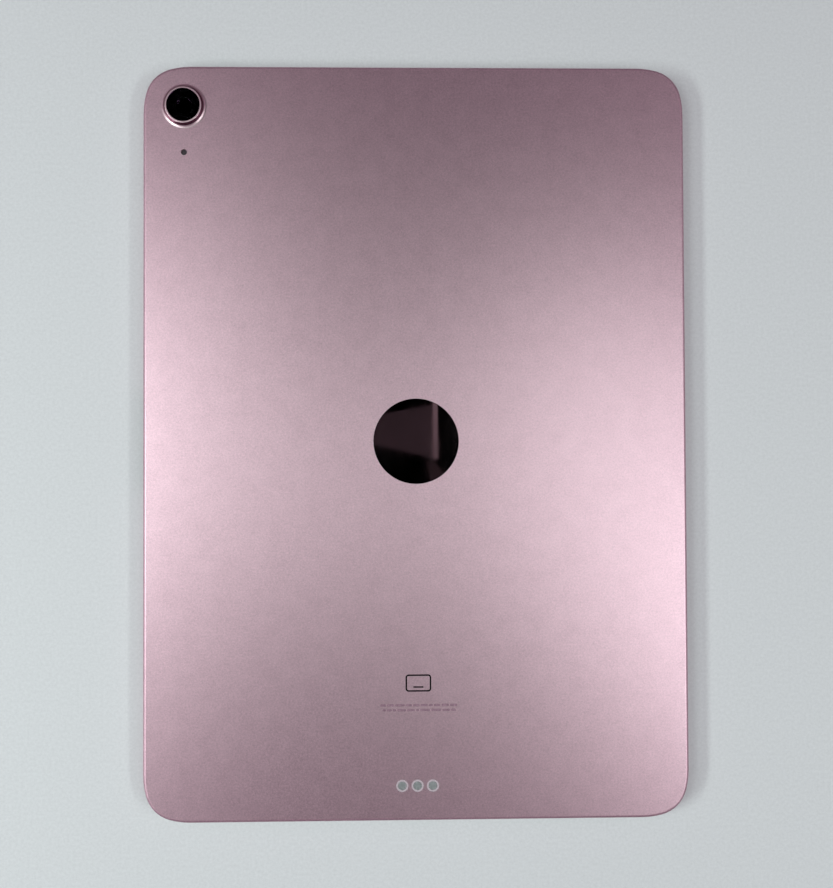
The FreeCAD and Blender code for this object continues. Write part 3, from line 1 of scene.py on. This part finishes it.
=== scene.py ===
import bmesh
import bpy
import json
import math
import random
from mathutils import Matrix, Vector


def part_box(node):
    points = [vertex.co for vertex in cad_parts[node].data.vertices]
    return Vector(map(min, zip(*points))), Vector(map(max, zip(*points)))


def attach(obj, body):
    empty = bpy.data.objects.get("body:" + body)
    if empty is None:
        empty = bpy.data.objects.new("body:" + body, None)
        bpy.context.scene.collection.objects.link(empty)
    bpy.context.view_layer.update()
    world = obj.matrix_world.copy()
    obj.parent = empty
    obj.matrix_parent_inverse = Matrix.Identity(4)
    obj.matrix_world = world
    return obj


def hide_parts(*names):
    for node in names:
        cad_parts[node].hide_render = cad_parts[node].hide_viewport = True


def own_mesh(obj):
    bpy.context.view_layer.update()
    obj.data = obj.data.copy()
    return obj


# The looks of a tablet computer that lies on its glass with its pink aluminium back up.
# Lengths are in metres, in the CAD's own frame: +Z out of the back, +Y towards the top button. Angles that a
# call or a named value gives are in degrees.

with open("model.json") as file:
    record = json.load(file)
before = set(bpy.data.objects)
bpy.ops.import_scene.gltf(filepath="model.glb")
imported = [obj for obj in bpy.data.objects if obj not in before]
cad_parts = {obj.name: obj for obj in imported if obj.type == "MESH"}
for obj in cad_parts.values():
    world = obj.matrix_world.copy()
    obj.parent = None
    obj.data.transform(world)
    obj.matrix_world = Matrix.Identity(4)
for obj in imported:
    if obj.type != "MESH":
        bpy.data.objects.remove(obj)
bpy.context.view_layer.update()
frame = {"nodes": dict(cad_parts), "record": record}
NODES = frame["nodes"]
MM = 0.001
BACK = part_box("rear_enclosure")[1].z
random.seed(11)

PINK = (0.785, 0.537, 0.622)
DEEP_PINK = (0.3475, 0.203, 0.2605)
PALE_PINK = (0.96, 0.67, 0.768)
POLISHED_PINK = (0.74, 0.55, 0.60)
# colour painted on the camera ring's steep side as shade
SHADED_SIDE = (0.2, 0.1, 0.14)

INK_DEPTH = 0.02 * MM
INK_PROUD = 0.006 * MM
DASH_ROWS = ((-86.2, -12.2, 13.1), (-87.8, -11.4, 12.6))  # each row's Y, left and right end, in millimetres
DOME_SHEET = 0.08 * MM

CAMERA_PLACE = (-0.0049, -0.0051, 0.2793)
CAMERA_TILT = (0.882, -1.048, -0.248)
FOCAL_LENGTH = 33.77
SENSOR_WIDTH = 36.0

FLOOR_HALF_WIDTH = 1.2
FLOOR_DROP = 0.02 * MM
FADE_STARTS = 0.45
FADE_ENDS = 1.1

REACH = 0.9  # from the tablet to each softbox, before it is moved towards the front
CARD_LEVEL = 0.9  # height of the cards overhead
LAMP_COLOR = (0.945, 1.07, 1.015)
ROOM_COLOR = (1, 0.66, 0.89)
BACKDROP_COLOR = (0.56, 0.605, 0.62)
ROOM_LIGHT = ((0.0, 0.01), (0.35, 0.06), (0.68, 1.0), (0.88, 0.0))  # sine of the angle upwards, brightness
SIDE_WALLS = 0.6
END_WALLS = 0.38


def middle(node):
    low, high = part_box(node)
    return (low + high) / 2


# ---------------------------------------------------------------- material helpers

class Nodes:
    """A node tree under construction."""

    def __init__(self, owner):
        owner.use_nodes = True
        self.tree = owner.node_tree

    def add(self, kind, **settings):
        made = self.tree.nodes.new(kind)
        for key, value in settings.items():
            setattr(made, key, value)
        return made

    def link(self, output, target):
        self.tree.links.new(output, target)

    def math(self, way, *values):
        made = self.add("ShaderNodeMath", operation=way)
        for socket, value in zip(made.inputs, values):
            if isinstance(value, (int, float)):
                socket.default_value = value
            else:
                self.link(value, socket)
        return made.outputs["Value"]

    def axes(self, vector):
        """The X, Y and Z outputs of a vector."""
        parts = self.add("ShaderNodeSeparateXYZ")
        self.link(vector, parts.inputs["Vector"])
        return parts.outputs


class Paint(Nodes):
    """A material under construction: a Principled shader and the nodes that feed it."""

    def __init__(self, name, color, rough, metal=0.0, **sockets):
        self.mat = bpy.data.materials.new(name)
        super().__init__(self.mat)
        self.color = color
        self.shader = self.tree.nodes["Principled BSDF"]
        self.place = self.add("ShaderNodeTexCoord").outputs["Object"]
        self.shader.inputs["Base Color"].default_value = (*color, 1)
        self.shader.inputs["Roughness"].default_value = rough
        self.shader.inputs["Metallic"].default_value = metal
        for key, value in sockets.items():
            self.shader.inputs[key.replace("_", " ")].default_value = value

    def spot(self, size, stretch=(1, 1, 1), shift=(0, 0, 0)):
        """Coordinates in which a pattern repeats about every size metres."""
        made = self.add("ShaderNodeMapping", vector_type="TEXTURE")
        made.inputs["Location"].default_value = shift
        made.inputs["Scale"].default_value = [size * s for s in stretch]
        self.link(self.place, made.inputs["Vector"])
        return made.outputs["Vector"]

    def noise(self, size, detail=2.0, stretch=(1, 1, 1), harsh=0.5):
        made = self.add("ShaderNodeTexNoise")
        made.inputs["Scale"].default_value = 1.0
        made.inputs["Detail"].default_value = detail
        made.inputs["Roughness"].default_value = harsh
        self.link(self.spot(size, stretch), made.inputs["Vector"])
        return made.outputs["Fac"]

    def cells(self, size, feature="F1", metric="EUCLIDEAN", stretch=(1, 1, 1)):
        """How far it is to the nearest of points scattered about size apart."""
        made = self.add("ShaderNodeTexVoronoi", feature=feature)
        if feature != "DISTANCE_TO_EDGE":
            made.distance = metric
        made.inputs["Scale"].default_value = 1.0
        self.link(self.spot(size, stretch), made.inputs["Vector"])
        return made.outputs["Distance"]

    def level(self):
        """Height above the glass face."""
        return self.axes(self.place)["Z"]

    def wave(self, pitch, axis="X"):
        """A smooth 0-to-1 wave along one axis, one crest every pitch."""
        swing = self.math("SINE", self.axes(self.spot(pitch / math.tau))[axis], 0)
        return self.math("MULTIPLY_ADD", swing, 0.5, 0.5)

    def rings(self, pitch, centre):
        """The same wave, in rings about an upright axis through centre."""
        flat = self.add("ShaderNodeVectorMath", operation="MULTIPLY")
        self.link(self.spot(pitch / math.tau, shift=centre), flat.inputs[0])
        flat.inputs[1].default_value = (1, 1, 0)
        length = self.add("ShaderNodeVectorMath", operation="LENGTH")
        self.link(flat.outputs["Vector"], length.inputs[0])
        return self.math("MULTIPLY_ADD", self.math("SINE", length.outputs["Value"], 0), 0.5, 0.5)

    def spread(self, value, low, high, start=0.3, end=0.7):
        """Carries value from start..end to low..high."""
        made = self.add("ShaderNodeMapRange")
        made.inputs["From Min"].default_value = start
        made.inputs["From Max"].default_value = end
        made.inputs["To Min"].default_value = low
        made.inputs["To Max"].default_value = high
        self.link(value, made.inputs["Value"])
        return made.outputs["Result"]

    def tint(self, value, first, second, start=0.3, end=0.7):
        """Colours the surface between two colours, or two strengths of its own colour, by value."""
        ramp = self.add("ShaderNodeValToRGB")
        for stop, place, color in zip(ramp.color_ramp.elements, (start, end), (first, second)):
            if isinstance(color, (int, float)):
                color = [c * color for c in self.color]
            stop.position = place
            stop.color = (*color, 1)
        self.link(value, ramp.inputs["Fac"])
        self.link(ramp.outputs["Color"], self.shader.inputs["Base Color"])
        return self

    def rough(self, value, low, high, start=0.3, end=0.7):
        self.link(self.spread(value, low, high, start, end), self.shader.inputs["Roughness"])
        return self

    def bump(self, value, height):
        """Relief: value 0 to 1 stands for this height."""
        made = self.add("ShaderNodeBump")
        made.inputs["Distance"].default_value = height
        self.link(value, made.inputs["Height"])
        self.link(made.outputs["Normal"], self.shader.inputs["Normal"])
        return self


# ---------------------------------------------------------------- finishes

def anodised_aluminium(name="anodised_aluminium", painted_shade=0.0):
    """Bead-blasted and dyed: a fine matt grain with a faint sparkle, and slow changes of tone. The rounded
    edge and the sides are blasted coarser than the flat back, and their colour is darkened as painted shade.
    The last argument darkens all of it, as painted shade."""
    paint = Paint(name, PINK, rough=0.4, metal=1.0)
    grain = paint.noise(0.6 * MM, 4.0, harsh=0.9)
    edge_foot = BACK - 0.03 * MM
    edge_top = BACK - 0.004 * MM
    edge_shade_and_blast = paint.spread(paint.level(), 1, 0, edge_foot, edge_top)
    # painted shade: the last argument lowers the tone all over
    tone_and_shade = paint.math("MULTIPLY_ADD", paint.noise(6 * MM), 0.12, 0.065 - painted_shade)
    # painted shade: the rounded edge and the sides are darkened in colour
    tone_and_shade = paint.math("MULTIPLY_ADD", edge_shade_and_blast, -0.22, tone_and_shade)
    paint.tint(paint.math("MULTIPLY_ADD", grain, 0.75, tone_and_shade), DEEP_PINK, PALE_PINK, 0.0, 0.7)
    rough = paint.math("MULTIPLY_ADD", edge_shade_and_blast, 0.2, paint.spread(grain, 0.36, 0.44))
    paint.link(rough, paint.shader.inputs["Roughness"])
    return paint.bump(paint.noise(0.22 * MM), 0.004 * MM)


def polished_aluminium():
    """Turned on a lathe, so faint rings run round the rear camera. The steep side is polished and its colour
    is darkened as painted shade; the hollow at its foot is less polished, and the flat top is left matt."""
    paint = Paint("polished_aluminium", POLISHED_PINK, rough=0.3, metal=1.0)
    turning = paint.rings(0.12 * MM, middle("camera_trim_ring"))
    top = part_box("camera_trim_ring")[1].z
    side_top = top - 0.09 * MM
    flat_top = top - 0.02 * MM
    hollow_foot = top - 0.98 * MM
    hollow_top = top - 0.8 * MM
    flat = paint.spread(paint.level(), 0, 0.34, side_top, flat_top)
    hollow = paint.spread(paint.level(), 0.24, 0, hollow_foot, hollow_top)
    matt_and_unshaded = paint.math("ADD", flat, hollow)
    rough = paint.math("MULTIPLY_ADD", turning, 0.04, paint.math("ADD", matt_and_unshaded, 0.1))
    paint.link(rough, paint.shader.inputs["Roughness"])
    # painted shade: the steep side is darkened in colour
    return paint.tint(matt_and_unshaded, SHADED_SIDE, 1.0, 0.02, 0.2).bump(turning, 0.0004 * MM)


def mirror_metal():
    """Polished to a mirror, with the faint smears that a cloth leaves."""
    paint = Paint("mirror_metal", POLISHED_PINK, rough=0.04, metal=1.0)
    smear = paint.noise(6 * MM, 3.0, stretch=(1, 3, 1))
    return paint.tint(smear, 0.95, 1.02).rough(smear, 0.02, 0.06)


def clear(name, color, rough, index, **sockets):
    """Glass or clear glue, with faint smears."""
    paint = Paint(name, color, rough, IOR=index, Transmission_Weight=1.0, **sockets)
    smear = paint.noise(8 * MM, 3.0, stretch=(1, 2, 1))
    return paint.tint(smear, 0.98, 1.0).rough(smear, rough * 0.6, rough * 1.6)


def cover_glass():
    return clear("cover_glass", (0.97, 0.98, 0.98), rough=0.02, index=1.5)


def lens_glass():
    """Coated against reflections, which leaves a faint violet."""
    violet = (0.9, 0.35, 0.75, 1)
    return clear("lens_glass", (0.6, 0.6, 0.64), rough=0.01, index=1.5, Specular_IOR_Level=0.12,
                 Specular_Tint=violet)


def clear_adhesive():
    return clear("clear_adhesive", (0.95, 0.96, 0.95), rough=0.08, index=1.47)


def dark_window():
    paint = Paint("dark_window", (0.012, 0.011, 0.014), rough=0.1)
    return paint.tint(paint.noise(3 * MM), 0.8, 1.3).rough(paint.noise(1.5 * MM), 0.07, 0.14)


def black_print():
    paint = Paint("black_print", (0.003, 0.0025, 0.003), rough=0.7, Specular_IOR_Level=0.05)
    return paint.tint(paint.cells(0.12 * MM), 1.4, 0.8, 0.0, 0.8).rough(paint.noise(0.5 * MM), 0.6, 0.8)


def display_panel():
    """Dark while it is off, with the faint grid of its picture elements."""
    paint = Paint("display_panel", (0.028, 0.028, 0.034), rough=0.25)
    grid = paint.math("MAXIMUM", paint.wave(0.096 * MM, "X"), paint.wave(0.096 * MM, "Y"))
    return paint.tint(grid, 1.4, 0.6, 0.5, 1.0).rough(paint.noise(4 * MM), 0.2, 0.3)


def white_diffuser():
    paint = Paint("white_diffuser", (0.82, 0.83, 0.82), rough=0.6)
    return paint.tint(paint.noise(5 * MM), 0.94, 1.02).bump(paint.noise(0.2 * MM), 0.01 * MM)


def black_plastic():
    paint = Paint("black_plastic", (0.018, 0.018, 0.02), rough=0.5)
    grain = paint.noise(0.3 * MM)
    return paint.tint(grain, 0.8, 1.3).rough(grain, 0.42, 0.58).bump(grain, 0.01 * MM)


def black_adhesive():
    """Foam tape and rubber: matt, with tiny open cells."""
    paint = Paint("black_adhesive", (0.02, 0.02, 0.02), rough=0.85)
    pores = paint.cells(0.25 * MM)
    # painted shade: the open cells are darkened in colour, as in their pits
    return paint.tint(pores, 0.5, 1.4, 0.1, 0.6).bump(pores, 0.05 * MM)


def pink_polymer():
    paint = Paint("pink_polymer", (0.54, 0.46, 0.5), rough=0.45)
    return paint.tint(paint.noise(0.4 * MM), 0.94, 1.05).rough(paint.noise(0.3 * MM), 0.4, 0.5)


def battery_pouch():
    """Foil laminate in a black wrap, slightly wrinkled."""
    paint = Paint("battery_pouch", (0.05, 0.052, 0.058), rough=0.4, metal=0.3)
    wrinkle = paint.noise(9 * MM, 4.0, stretch=(2, 1, 1))
    return paint.tint(wrinkle, 0.8, 1.25).rough(paint.noise(3 * MM), 0.3, 0.5).bump(wrinkle, 0.12 * MM)


def circuit_board():
    """Dark solder mask, lighter in small patches where the copper below shows through."""
    paint = Paint("circuit_board", (0.012, 0.045, 0.04), rough=0.35)
    copper_below = (0.05, 0.14, 0.11)
    tracks = paint.cells(1.1 * MM, "DISTANCE_TO_EDGE")
    pads = paint.cells(0.9 * MM, metric="CHEBYCHEV")
    both = paint.math("MAXIMUM", tracks, paint.math("MULTIPLY", pads, 0.4))
    return paint.tint(both, copper_below, 1.0, 0.03, 0.08).bump(both, 0.02 * MM)


def chip_package():
    """Moulded epoxy: very dark grey with a fine sparkle of filler."""
    paint = Paint("chip_package", (0.03, 0.03, 0.032), rough=0.55)
    grain = paint.noise(0.12 * MM, 3.0)
    return paint.tint(grain, 0.7, 1.6).rough(grain, 0.45, 0.65).bump(grain, 0.005 * MM)


def ribbon_cable():
    """Amber polyimide film with fine copper conductors inside."""
    paint = Paint("ribbon_cable", (0.2, 0.085, 0.02), rough=0.35)
    lines = paint.math("MAXIMUM", paint.wave(0.6 * MM, "X"), paint.wave(0.6 * MM, "Y"))
    return paint.tint(lines, 0.75, 1.25, 0.5, 0.9).rough(paint.noise(1 * MM), 0.28, 0.42)


def brushed(name, color, rough, along="X"):
    """Sheet or wire metal with fine scratches along one axis."""
    paint = Paint(name, color, rough, metal=1.0)
    stretch = [20 if axis == along else 1 for axis in "XYZ"]
    scratch = paint.noise(0.12 * MM, 3.0, stretch)
    return paint.tint(scratch, 0.86, 1.08).rough(scratch, rough * 0.8, rough * 1.2)


def sheet_steel():
    return brushed("sheet_steel", (0.6, 0.6, 0.61), rough=0.32)


def woven_steel():
    """Fine wire cloth: wires that pass over and under, with the gaps between them painted dark as shade."""
    paint = Paint("woven_steel", (0.2, 0.19, 0.2), rough=0.45, metal=1.0)
    warp = paint.wave(0.11 * MM, "X")
    weft = paint.math("MULTIPLY", paint.wave(0.11 * MM, "Y"), paint.wave(0.11 * MM, "Z"))
    cloth = paint.math("MAXIMUM", warp, weft)
    # painted shade: the gaps between the wires are darkened
    return paint.tint(cloth, 0.05, 1.1, 0.35, 0.8).bump(cloth, 0.03 * MM)


def gold_contact():
    return brushed("gold_contact", (0.85, 0.62, 0.26), rough=0.25, along="Y")


def contact_metal():
    """Hard plating with a grey-green cast, matt from use."""
    paint = Paint("contact_metal", (0.54, 0.58, 0.585), rough=0.42, metal=1.0)
    rubbed = paint.noise(0.6 * MM, 3.0)
    return paint.tint(rubbed, 0.9, 1.08).rough(rubbed, 0.38, 0.5)


def nickel_plate():
    return brushed("nickel_plate", (0.66, 0.64, 0.6), rough=0.28, along="Z")


def graphite_sheet():
    paint = Paint("graphite_sheet", (0.05, 0.05, 0.052), rough=0.5, metal=0.6)
    flakes = paint.cells(0.5 * MM)
    return paint.tint(flakes, 0.7, 1.5, 0.0, 0.7).rough(flakes, 0.35, 0.6, 0.0, 0.7)


def copper_coil():
    """Enamelled copper wire, wound side by side."""
    paint = Paint("copper_coil", (0.72, 0.3, 0.14), rough=0.3, metal=1.0)
    wires = paint.wave(0.2 * MM, "X")
    # painted shade: the grooves between the wires are darkened in colour
    return paint.tint(wires, 0.55, 1.1, 0.0, 0.7).bump(wires, 0.06 * MM)


def finish_cad():
    """Every CAD node gets the finish that the record names for it."""
    makers = [anodised_aluminium, polished_aluminium, mirror_metal, cover_glass, lens_glass, clear_adhesive,
              dark_window, black_print, display_panel, white_diffuser, black_plastic, black_adhesive,
              pink_polymer, battery_pouch, circuit_board, chip_package, ribbon_cable, sheet_steel,
              woven_steel, gold_contact, contact_metal, nickel_plate, graphite_sheet, copper_coil]
    finishes = {make.__name__: make().mat for make in makers}
    for part in frame["record"]["subparts"]:
        wear(NODES[part["node"]], finishes[part["material_slot"]])
    return finishes


def wear(thing, material):
    thing.data.materials.clear()
    thing.data.materials.append(material)


# ---------------------------------------------------------------- new pieces

def add_mesh(name, form):
    """Makes a bmesh form into an object of the scene."""
    mesh = bpy.data.meshes.new(name)
    form.to_mesh(mesh)
    form.free()
    made = bpy.data.objects.new(name, mesh)
    bpy.context.scene.collection.objects.link(made)
    return made


def piece(name, form, body, slot, soft=True):
    """Makes a bmesh form into a piece that rides on a body and wears a slot's finish."""
    bmesh.ops.recalc_face_normals(form, faces=form.faces)
    made = add_mesh(name, form)
    if soft:
        made.data.shade_smooth()
    wear(made, FINISHES[slot])
    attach(made, body)
    return made


def rounded_loop(wide, tall, radius, centre=(0, 0), steps=6):
    """Points round a rectangle with rounded corners."""
    points = []
    for corner in range(4):
        angle = math.pi / 2 * corner
        right = math.copysign(wide / 2 - radius, math.cos(angle + math.pi / 4))
        up = math.copysign(tall / 2 - radius, math.sin(angle + math.pi / 4))
        for step in range(steps + 1):
            turn = angle + math.pi / 2 * step / steps
            x = centre[0] + right + radius * math.cos(turn)
            y = centre[1] + up + radius * math.sin(turn)
            points.append((x, y))
    return points


def circle_loop(radius, centre, steps=96):
    """Points round a circle."""
    turns = [math.tau * k / steps for k in range(steps)]
    return [(centre[0] + radius * math.cos(turn), centre[1] + radius * math.sin(turn)) for turn in turns]


def walls(form, lower, upper):
    """Faces all round between two rings that have equally many points."""
    for k, start in enumerate(lower):
        after = (k + 1) % len(lower)
        form.faces.new((start, lower[after], upper[after], upper[k]))


def slab(form, loop, low, high):
    """A closed plate with this outline."""
    rings = [[form.verts.new((x, y, z)) for x, y in loop] for z in (low, high)]
    walls(form, *rings)
    for ring in rings:
        form.faces.new(ring)


def band(form, outer, inner, low, high):
    """A closed flat ring between two outlines."""
    levels = ((outer, low), (outer, high), (inner, high), (inner, low))
    rings = [[form.verts.new((x, y, z)) for x, y in loop] for loop, z in levels]
    for first, second in zip(rings, rings[1:] + rings[:1]):
        walls(form, first, second)


def etched_outline():
    """A plain tablet outline lasered into the lower part of the back, with a short bar in it."""
    wide = 8.4 * MM
    tall = 5.6 * MM
    line = 0.5 * MM
    corner = 1.0 * MM
    centre = (0.4 * MM, -79 * MM)
    bar = (centre[0], centre[1] - tall / 2 + 3 * line)
    outer = rounded_loop(wide, tall, corner, centre)
    inner = rounded_loop(wide - 2 * line, tall - 2 * line, corner - line, centre)
    form = bmesh.new()
    band(form, outer, inner, BACK - INK_DEPTH, BACK + INK_PROUD)
    slab(form, rounded_loop(wide * 0.4, line, line * 0.49, bar), BACK - INK_DEPTH, BACK + INK_PROUD)
    piece("etched_outline", form, "tablet", "black_print", soft=False)


def etched_dashes():
    """Two rows of fine dashes below the outline, of uneven lengths."""
    line = 0.8 * MM
    gap = 0.3 * MM
    shortest = 0.9  # in millimetres, as the next one
    longest = 3.4
    form = bmesh.new()
    for up, left, right in DASH_ROWS:
        x = left * MM
        while x < right * MM - gap:
            length = min(random.uniform(shortest, longest) * MM, right * MM - x)
            dash = rounded_loop(length, line, line * 0.45, (x + length / 2, up * MM), steps=2)
            slab(form, dash, BACK - INK_DEPTH, BACK + INK_PROUD)
            x += length + gap
    dashes = piece("etched_dashes", form, "tablet", "black_print", soft=False)
    ink = Paint("faint_ink", (0.37, 0.23, 0.29), rough=0.5, metal=0.7)
    wear(dashes, ink.tint(ink.noise(0.5 * MM, 3.0), 0.75, 1.35).mat)


def camera_print():
    """The black ring printed under the rear camera's glass."""
    glass_low, glass_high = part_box("camera_cover_glass")
    lens_low, lens_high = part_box("camera_lenses")
    centre = (glass_low + glass_high) / 2
    margin = 0.03 * MM
    radius = (glass_high.x - glass_low.x) / 2 - margin
    opening = (lens_high.x - lens_low.x) / 2
    print_foot = glass_low.z - 0.04 * MM
    print_top = glass_low.z - 0.005 * MM
    form = bmesh.new()
    band(form, circle_loop(radius, centre), circle_loop(opening, centre), print_foot, print_top)
    piece("camera_print", form, "tablet", "black_print", soft=False)


def dome_profile(radius, height):
    """Radius and height of points from the crown down the outside, round the flat rim and up the inside."""
    steps = 8
    bends = [math.pi / 2 * k / steps for k in range(steps + 1)]
    shoulder = radius * 0.9
    rim_inside = radius * 0.84
    inner_share = 0.93
    rise = height - DOME_SHEET
    outside = [(shoulder * math.sin(bend), rise * math.cos(bend) + DOME_SHEET) for bend in bends]
    rim = [(radius, DOME_SHEET), (radius, 0.0), (rim_inside, 0.0)]
    inside = [(r * inner_share, max(h - DOME_SHEET, 0)) for r, h in outside[-2:0:-1]]
    return outside + rim + inside + [(0.0, rise)]


def snap_dome(node, crown):
    """A sprung steel dome under a button, which flattens when the button goes in; here it keeps its resting
    shape. Its crown points along the crown direction."""
    low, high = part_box(node)
    across = 0 if abs(crown.y) > 0.5 else 1
    radius = (high[across] - low[across]) / 2
    height = abs((high - low).dot(crown))
    foot = (low + high) / 2 - crown * height / 2
    side = Vector((1, 0, 0)) if across == 0 else Vector((0, 1, 0))
    form = bmesh.new()
    rings = [round_points(form, foot + crown * h, r, side) for r, h in dome_profile(radius, height)]
    for first, second in zip(rings, rings[1:]):
        join(form, first, second)
    made = piece(node.replace("_dome", "_snap_dome"), form, "tablet", "nickel_plate")
    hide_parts(node)
    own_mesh(made)


def round_points(form, centre, radius, side, turns=48):
    """A ring of points in the plane of side and the vertical, or one point where the radius is nothing."""
    if radius == 0:
        return [form.verts.new(centre)]
    up = Vector((0, 0, 1))
    turned = [math.tau * k / turns for k in range(turns)]
    ways = [side * math.cos(turn) + up * math.sin(turn) for turn in turned]
    return [form.verts.new(centre + radius * way) for way in ways]


def join(form, first, second):
    """Faces between two rings of points; either may be a single point."""
    count = max(len(first), len(second))
    for k in range(count):
        after = (k + 1) % count
        start = first[k % len(first)], second[k % len(second)]
        end = first[after % len(first)], second[after % len(second)]
        form.faces.new(dict.fromkeys((start[0], end[0], end[1], start[1])))


# ---------------------------------------------------------------- scene

def stage_floor():
    """A plain pale table top with a faint grain, which fades into the backdrop well away from the tablet."""
    form = bmesh.new()
    bmesh.ops.create_grid(form, x_segments=1, y_segments=1, size=FLOOR_HALF_WIDTH)
    floor = add_mesh("floor", form)
    floor.location.z = -FLOOR_DROP
    paint = Paint("pale_table", (0.735, 0.757, 0.773), rough=0.6, Specular_IOR_Level=0.15)
    grain = paint.noise(1.0 * MM, 3.0, harsh=0.7)
    paint.tint(grain, 0.94, 1.045).bump(grain, 0.02 * MM)
    away = paint.add("ShaderNodeVectorMath", operation="LENGTH")
    paint.link(paint.place, away.inputs[0])
    fade = paint.spread(away.outputs["Value"], 1, 0, FADE_STARTS, FADE_ENDS)
    paint.link(fade, paint.shader.inputs["Alpha"])
    wear(floor, paint.mat)


def card(name, corners, color):
    """A flat card high overhead, which only the mirror finish of the back's disc shows. Corners are places
    on that disc, in millimetres, carried up along the mirrored lines of sight."""
    eye = bpy.context.scene.camera.location
    spread = (CARD_LEVEL - BACK) / (eye.z - BACK)
    form = bmesh.new()
    raised = []
    for x, y in corners:
        across = x * MM + (x * MM - eye.x) * spread
        along = y * MM + (y * MM - eye.y) * spread
        raised.append(form.verts.new((across, along, CARD_LEVEL)))
    form.faces.new(raised)
    made = add_mesh(name, form)
    paint = Paint(name, color, rough=0.8)
    wear(made, paint.tint(paint.noise(60 * MM), 0.85, 1.1).mat)


def add_camera():
    lens = bpy.data.cameras.new("view_from_above")
    lens.sensor_width = SENSOR_WIDTH
    lens.lens = FOCAL_LENGTH
    lens.clip_start = 10 * MM
    eye = bpy.data.objects.new("view_from_above", lens)
    eye.location = CAMERA_PLACE
    eye.rotation_euler = [math.radians(angle) for angle in CAMERA_TILT]
    bpy.context.scene.collection.objects.link(eye)
    bpy.context.scene.camera = eye


def softbox(name, turn, lean, watts, long, wide, front=0.0):
    """An oblong softbox that faces the tablet, its long side level. Turn is its bearing from +X, and lean
    its angle from straight above; front moves it towards the tablet's lower end."""
    lamp = bpy.data.lights.new(name, "AREA")
    lamp.shape = "RECTANGLE"
    lamp.size = long
    lamp.size_y = wide
    lamp.energy = watts
    lamp.color = LAMP_COLOR
    made = bpy.data.objects.new(name, lamp)
    turn = math.radians(turn)
    lean = math.radians(lean)
    way = Vector((math.sin(lean) * math.cos(turn), math.sin(lean) * math.sin(turn), math.cos(lean)))
    made.location = REACH * way
    made.rotation_euler = (-made.location).to_track_quat("-Z", "Y").to_euler()
    made.location.y -= front
    made.visible_camera = False
    bpy.context.scene.collection.objects.link(made)


def room_brightness(nodes, sight):
    """How bright the room is along a line of sight: brightest partway up its walls, dark straight overhead,
    and dimmer at the tablet's two ends than at its sides."""
    ramp = nodes.add("ShaderNodeValToRGB")
    ramp.color_ramp.interpolation = "EASE"
    stops = ramp.color_ramp.elements
    for height, light in ROOM_LIGHT[1:-1]:
        stops.new(height)
    for stop, (height, light) in zip(stops, ROOM_LIGHT):
        stop.position = height
        stop.color = (light, light, light, 1)
    nodes.link(sight["Z"], ramp.inputs["Fac"])
    across = nodes.math("POWER", sight["X"], 2.0)
    along = nodes.math("POWER", sight["Y"], 2.0)
    sideways = nodes.math("DIVIDE", across, nodes.math("ADD", across, along))
    walls_light = nodes.math("MULTIPLY_ADD", sideways, SIDE_WALLS - END_WALLS, END_WALLS)
    return nodes.math("MULTIPLY", ramp.outputs["Color"], walls_light)


def add_world():
    """A room that lights the tablet. What the camera sees behind the table is a plain pale backdrop."""
    world = bpy.data.worlds.new("pale_room")
    nodes = Nodes(world)
    sight = nodes.axes(nodes.add("ShaderNodeTexCoord").outputs["Generated"])
    room = nodes.tree.nodes["Background"]
    room.inputs["Color"].default_value = (*ROOM_COLOR, 1)
    nodes.link(room_brightness(nodes, sight), room.inputs["Strength"])
    backdrop = nodes.add("ShaderNodeBackground")
    backdrop.inputs["Color"].default_value = (*BACKDROP_COLOR, 1)
    choice = nodes.add("ShaderNodeMixShader")
    nodes.link(nodes.add("ShaderNodeLightPath").outputs["Is Camera Ray"], choice.inputs[0])
    nodes.link(room.outputs["Background"], choice.inputs[1])
    nodes.link(backdrop.outputs["Background"], choice.inputs[2])
    nodes.link(choice.outputs["Shader"], nodes.tree.nodes["World Output"].inputs["Surface"])
    bpy.context.scene.world = world


# ---------------------------------------------------------------- the whole

add_camera()
FINISHES = finish_cad()
# painted shade: the top button's cap is darkened all over, standing in for the shade along its protruding
# edge
wear(NODES["top_button_cap"], anodised_aluminium("button_aluminium_painted_shade", painted_shade=0.3).mat)
etched_outline()
etched_dashes()
camera_print()
snap_dome("top_button_dome", crown=Vector((0, 1, 0)))
snap_dome("volume_up_dome", crown=Vector((-1, 0, 0)))
snap_dome("volume_down_dome", crown=Vector((-1, 0, 0)))

stage_floor()
card("ceiling_panel", ((-16, 8), (5.4, 12), (5.4, -5.5), (-16, -0.5)), color=(0.05, 0.028, 0.036))
card("ceiling_panel_low", ((3.5, -6.5), (6.3, -7), (12.5, -15), (5, -15)), color=(0.03, 0.012, 0.016))
card("ceiling_rail", ((5.5, 16), (7.1, 16), (7.1, -5.8), (5.5, -5.8)), color=(0.36, 0.26, 0.28))
add_world()

softbox("left_strip", turn=180, lean=54, watts=3.2, long=0.5, wide=0.1, front=0.18)
softbox("left_mid", turn=180, lean=36, watts=1.14, long=0.26, wide=0.26)
softbox("left_front", turn=212, lean=36, watts=0.18, long=0.26, wide=0.26)
softbox("left_back", turn=150, lean=28, watts=0.28, long=0.26, wide=0.26)
softbox("left_high", turn=195, lean=12, watts=0.19, long=0.2, wide=0.2)
softbox("right_strip", turn=0, lean=45, watts=1.55, long=0.5, wide=0.1, front=0.18)
softbox("right_front", turn=325, lean=40, watts=0.3, long=0.26, wide=0.26)
softbox("right_mid", turn=335, lean=26, watts=0.42, long=0.24, wide=0.24)
softbox("right_back", turn=20, lean=20, watts=0.35, long=0.22, wide=0.22)
softbox("right_high", turn=345, lean=12, watts=0.18, long=0.2, wide=0.2)
bpy.context.scene.view_settings.view_transform = "Standard"
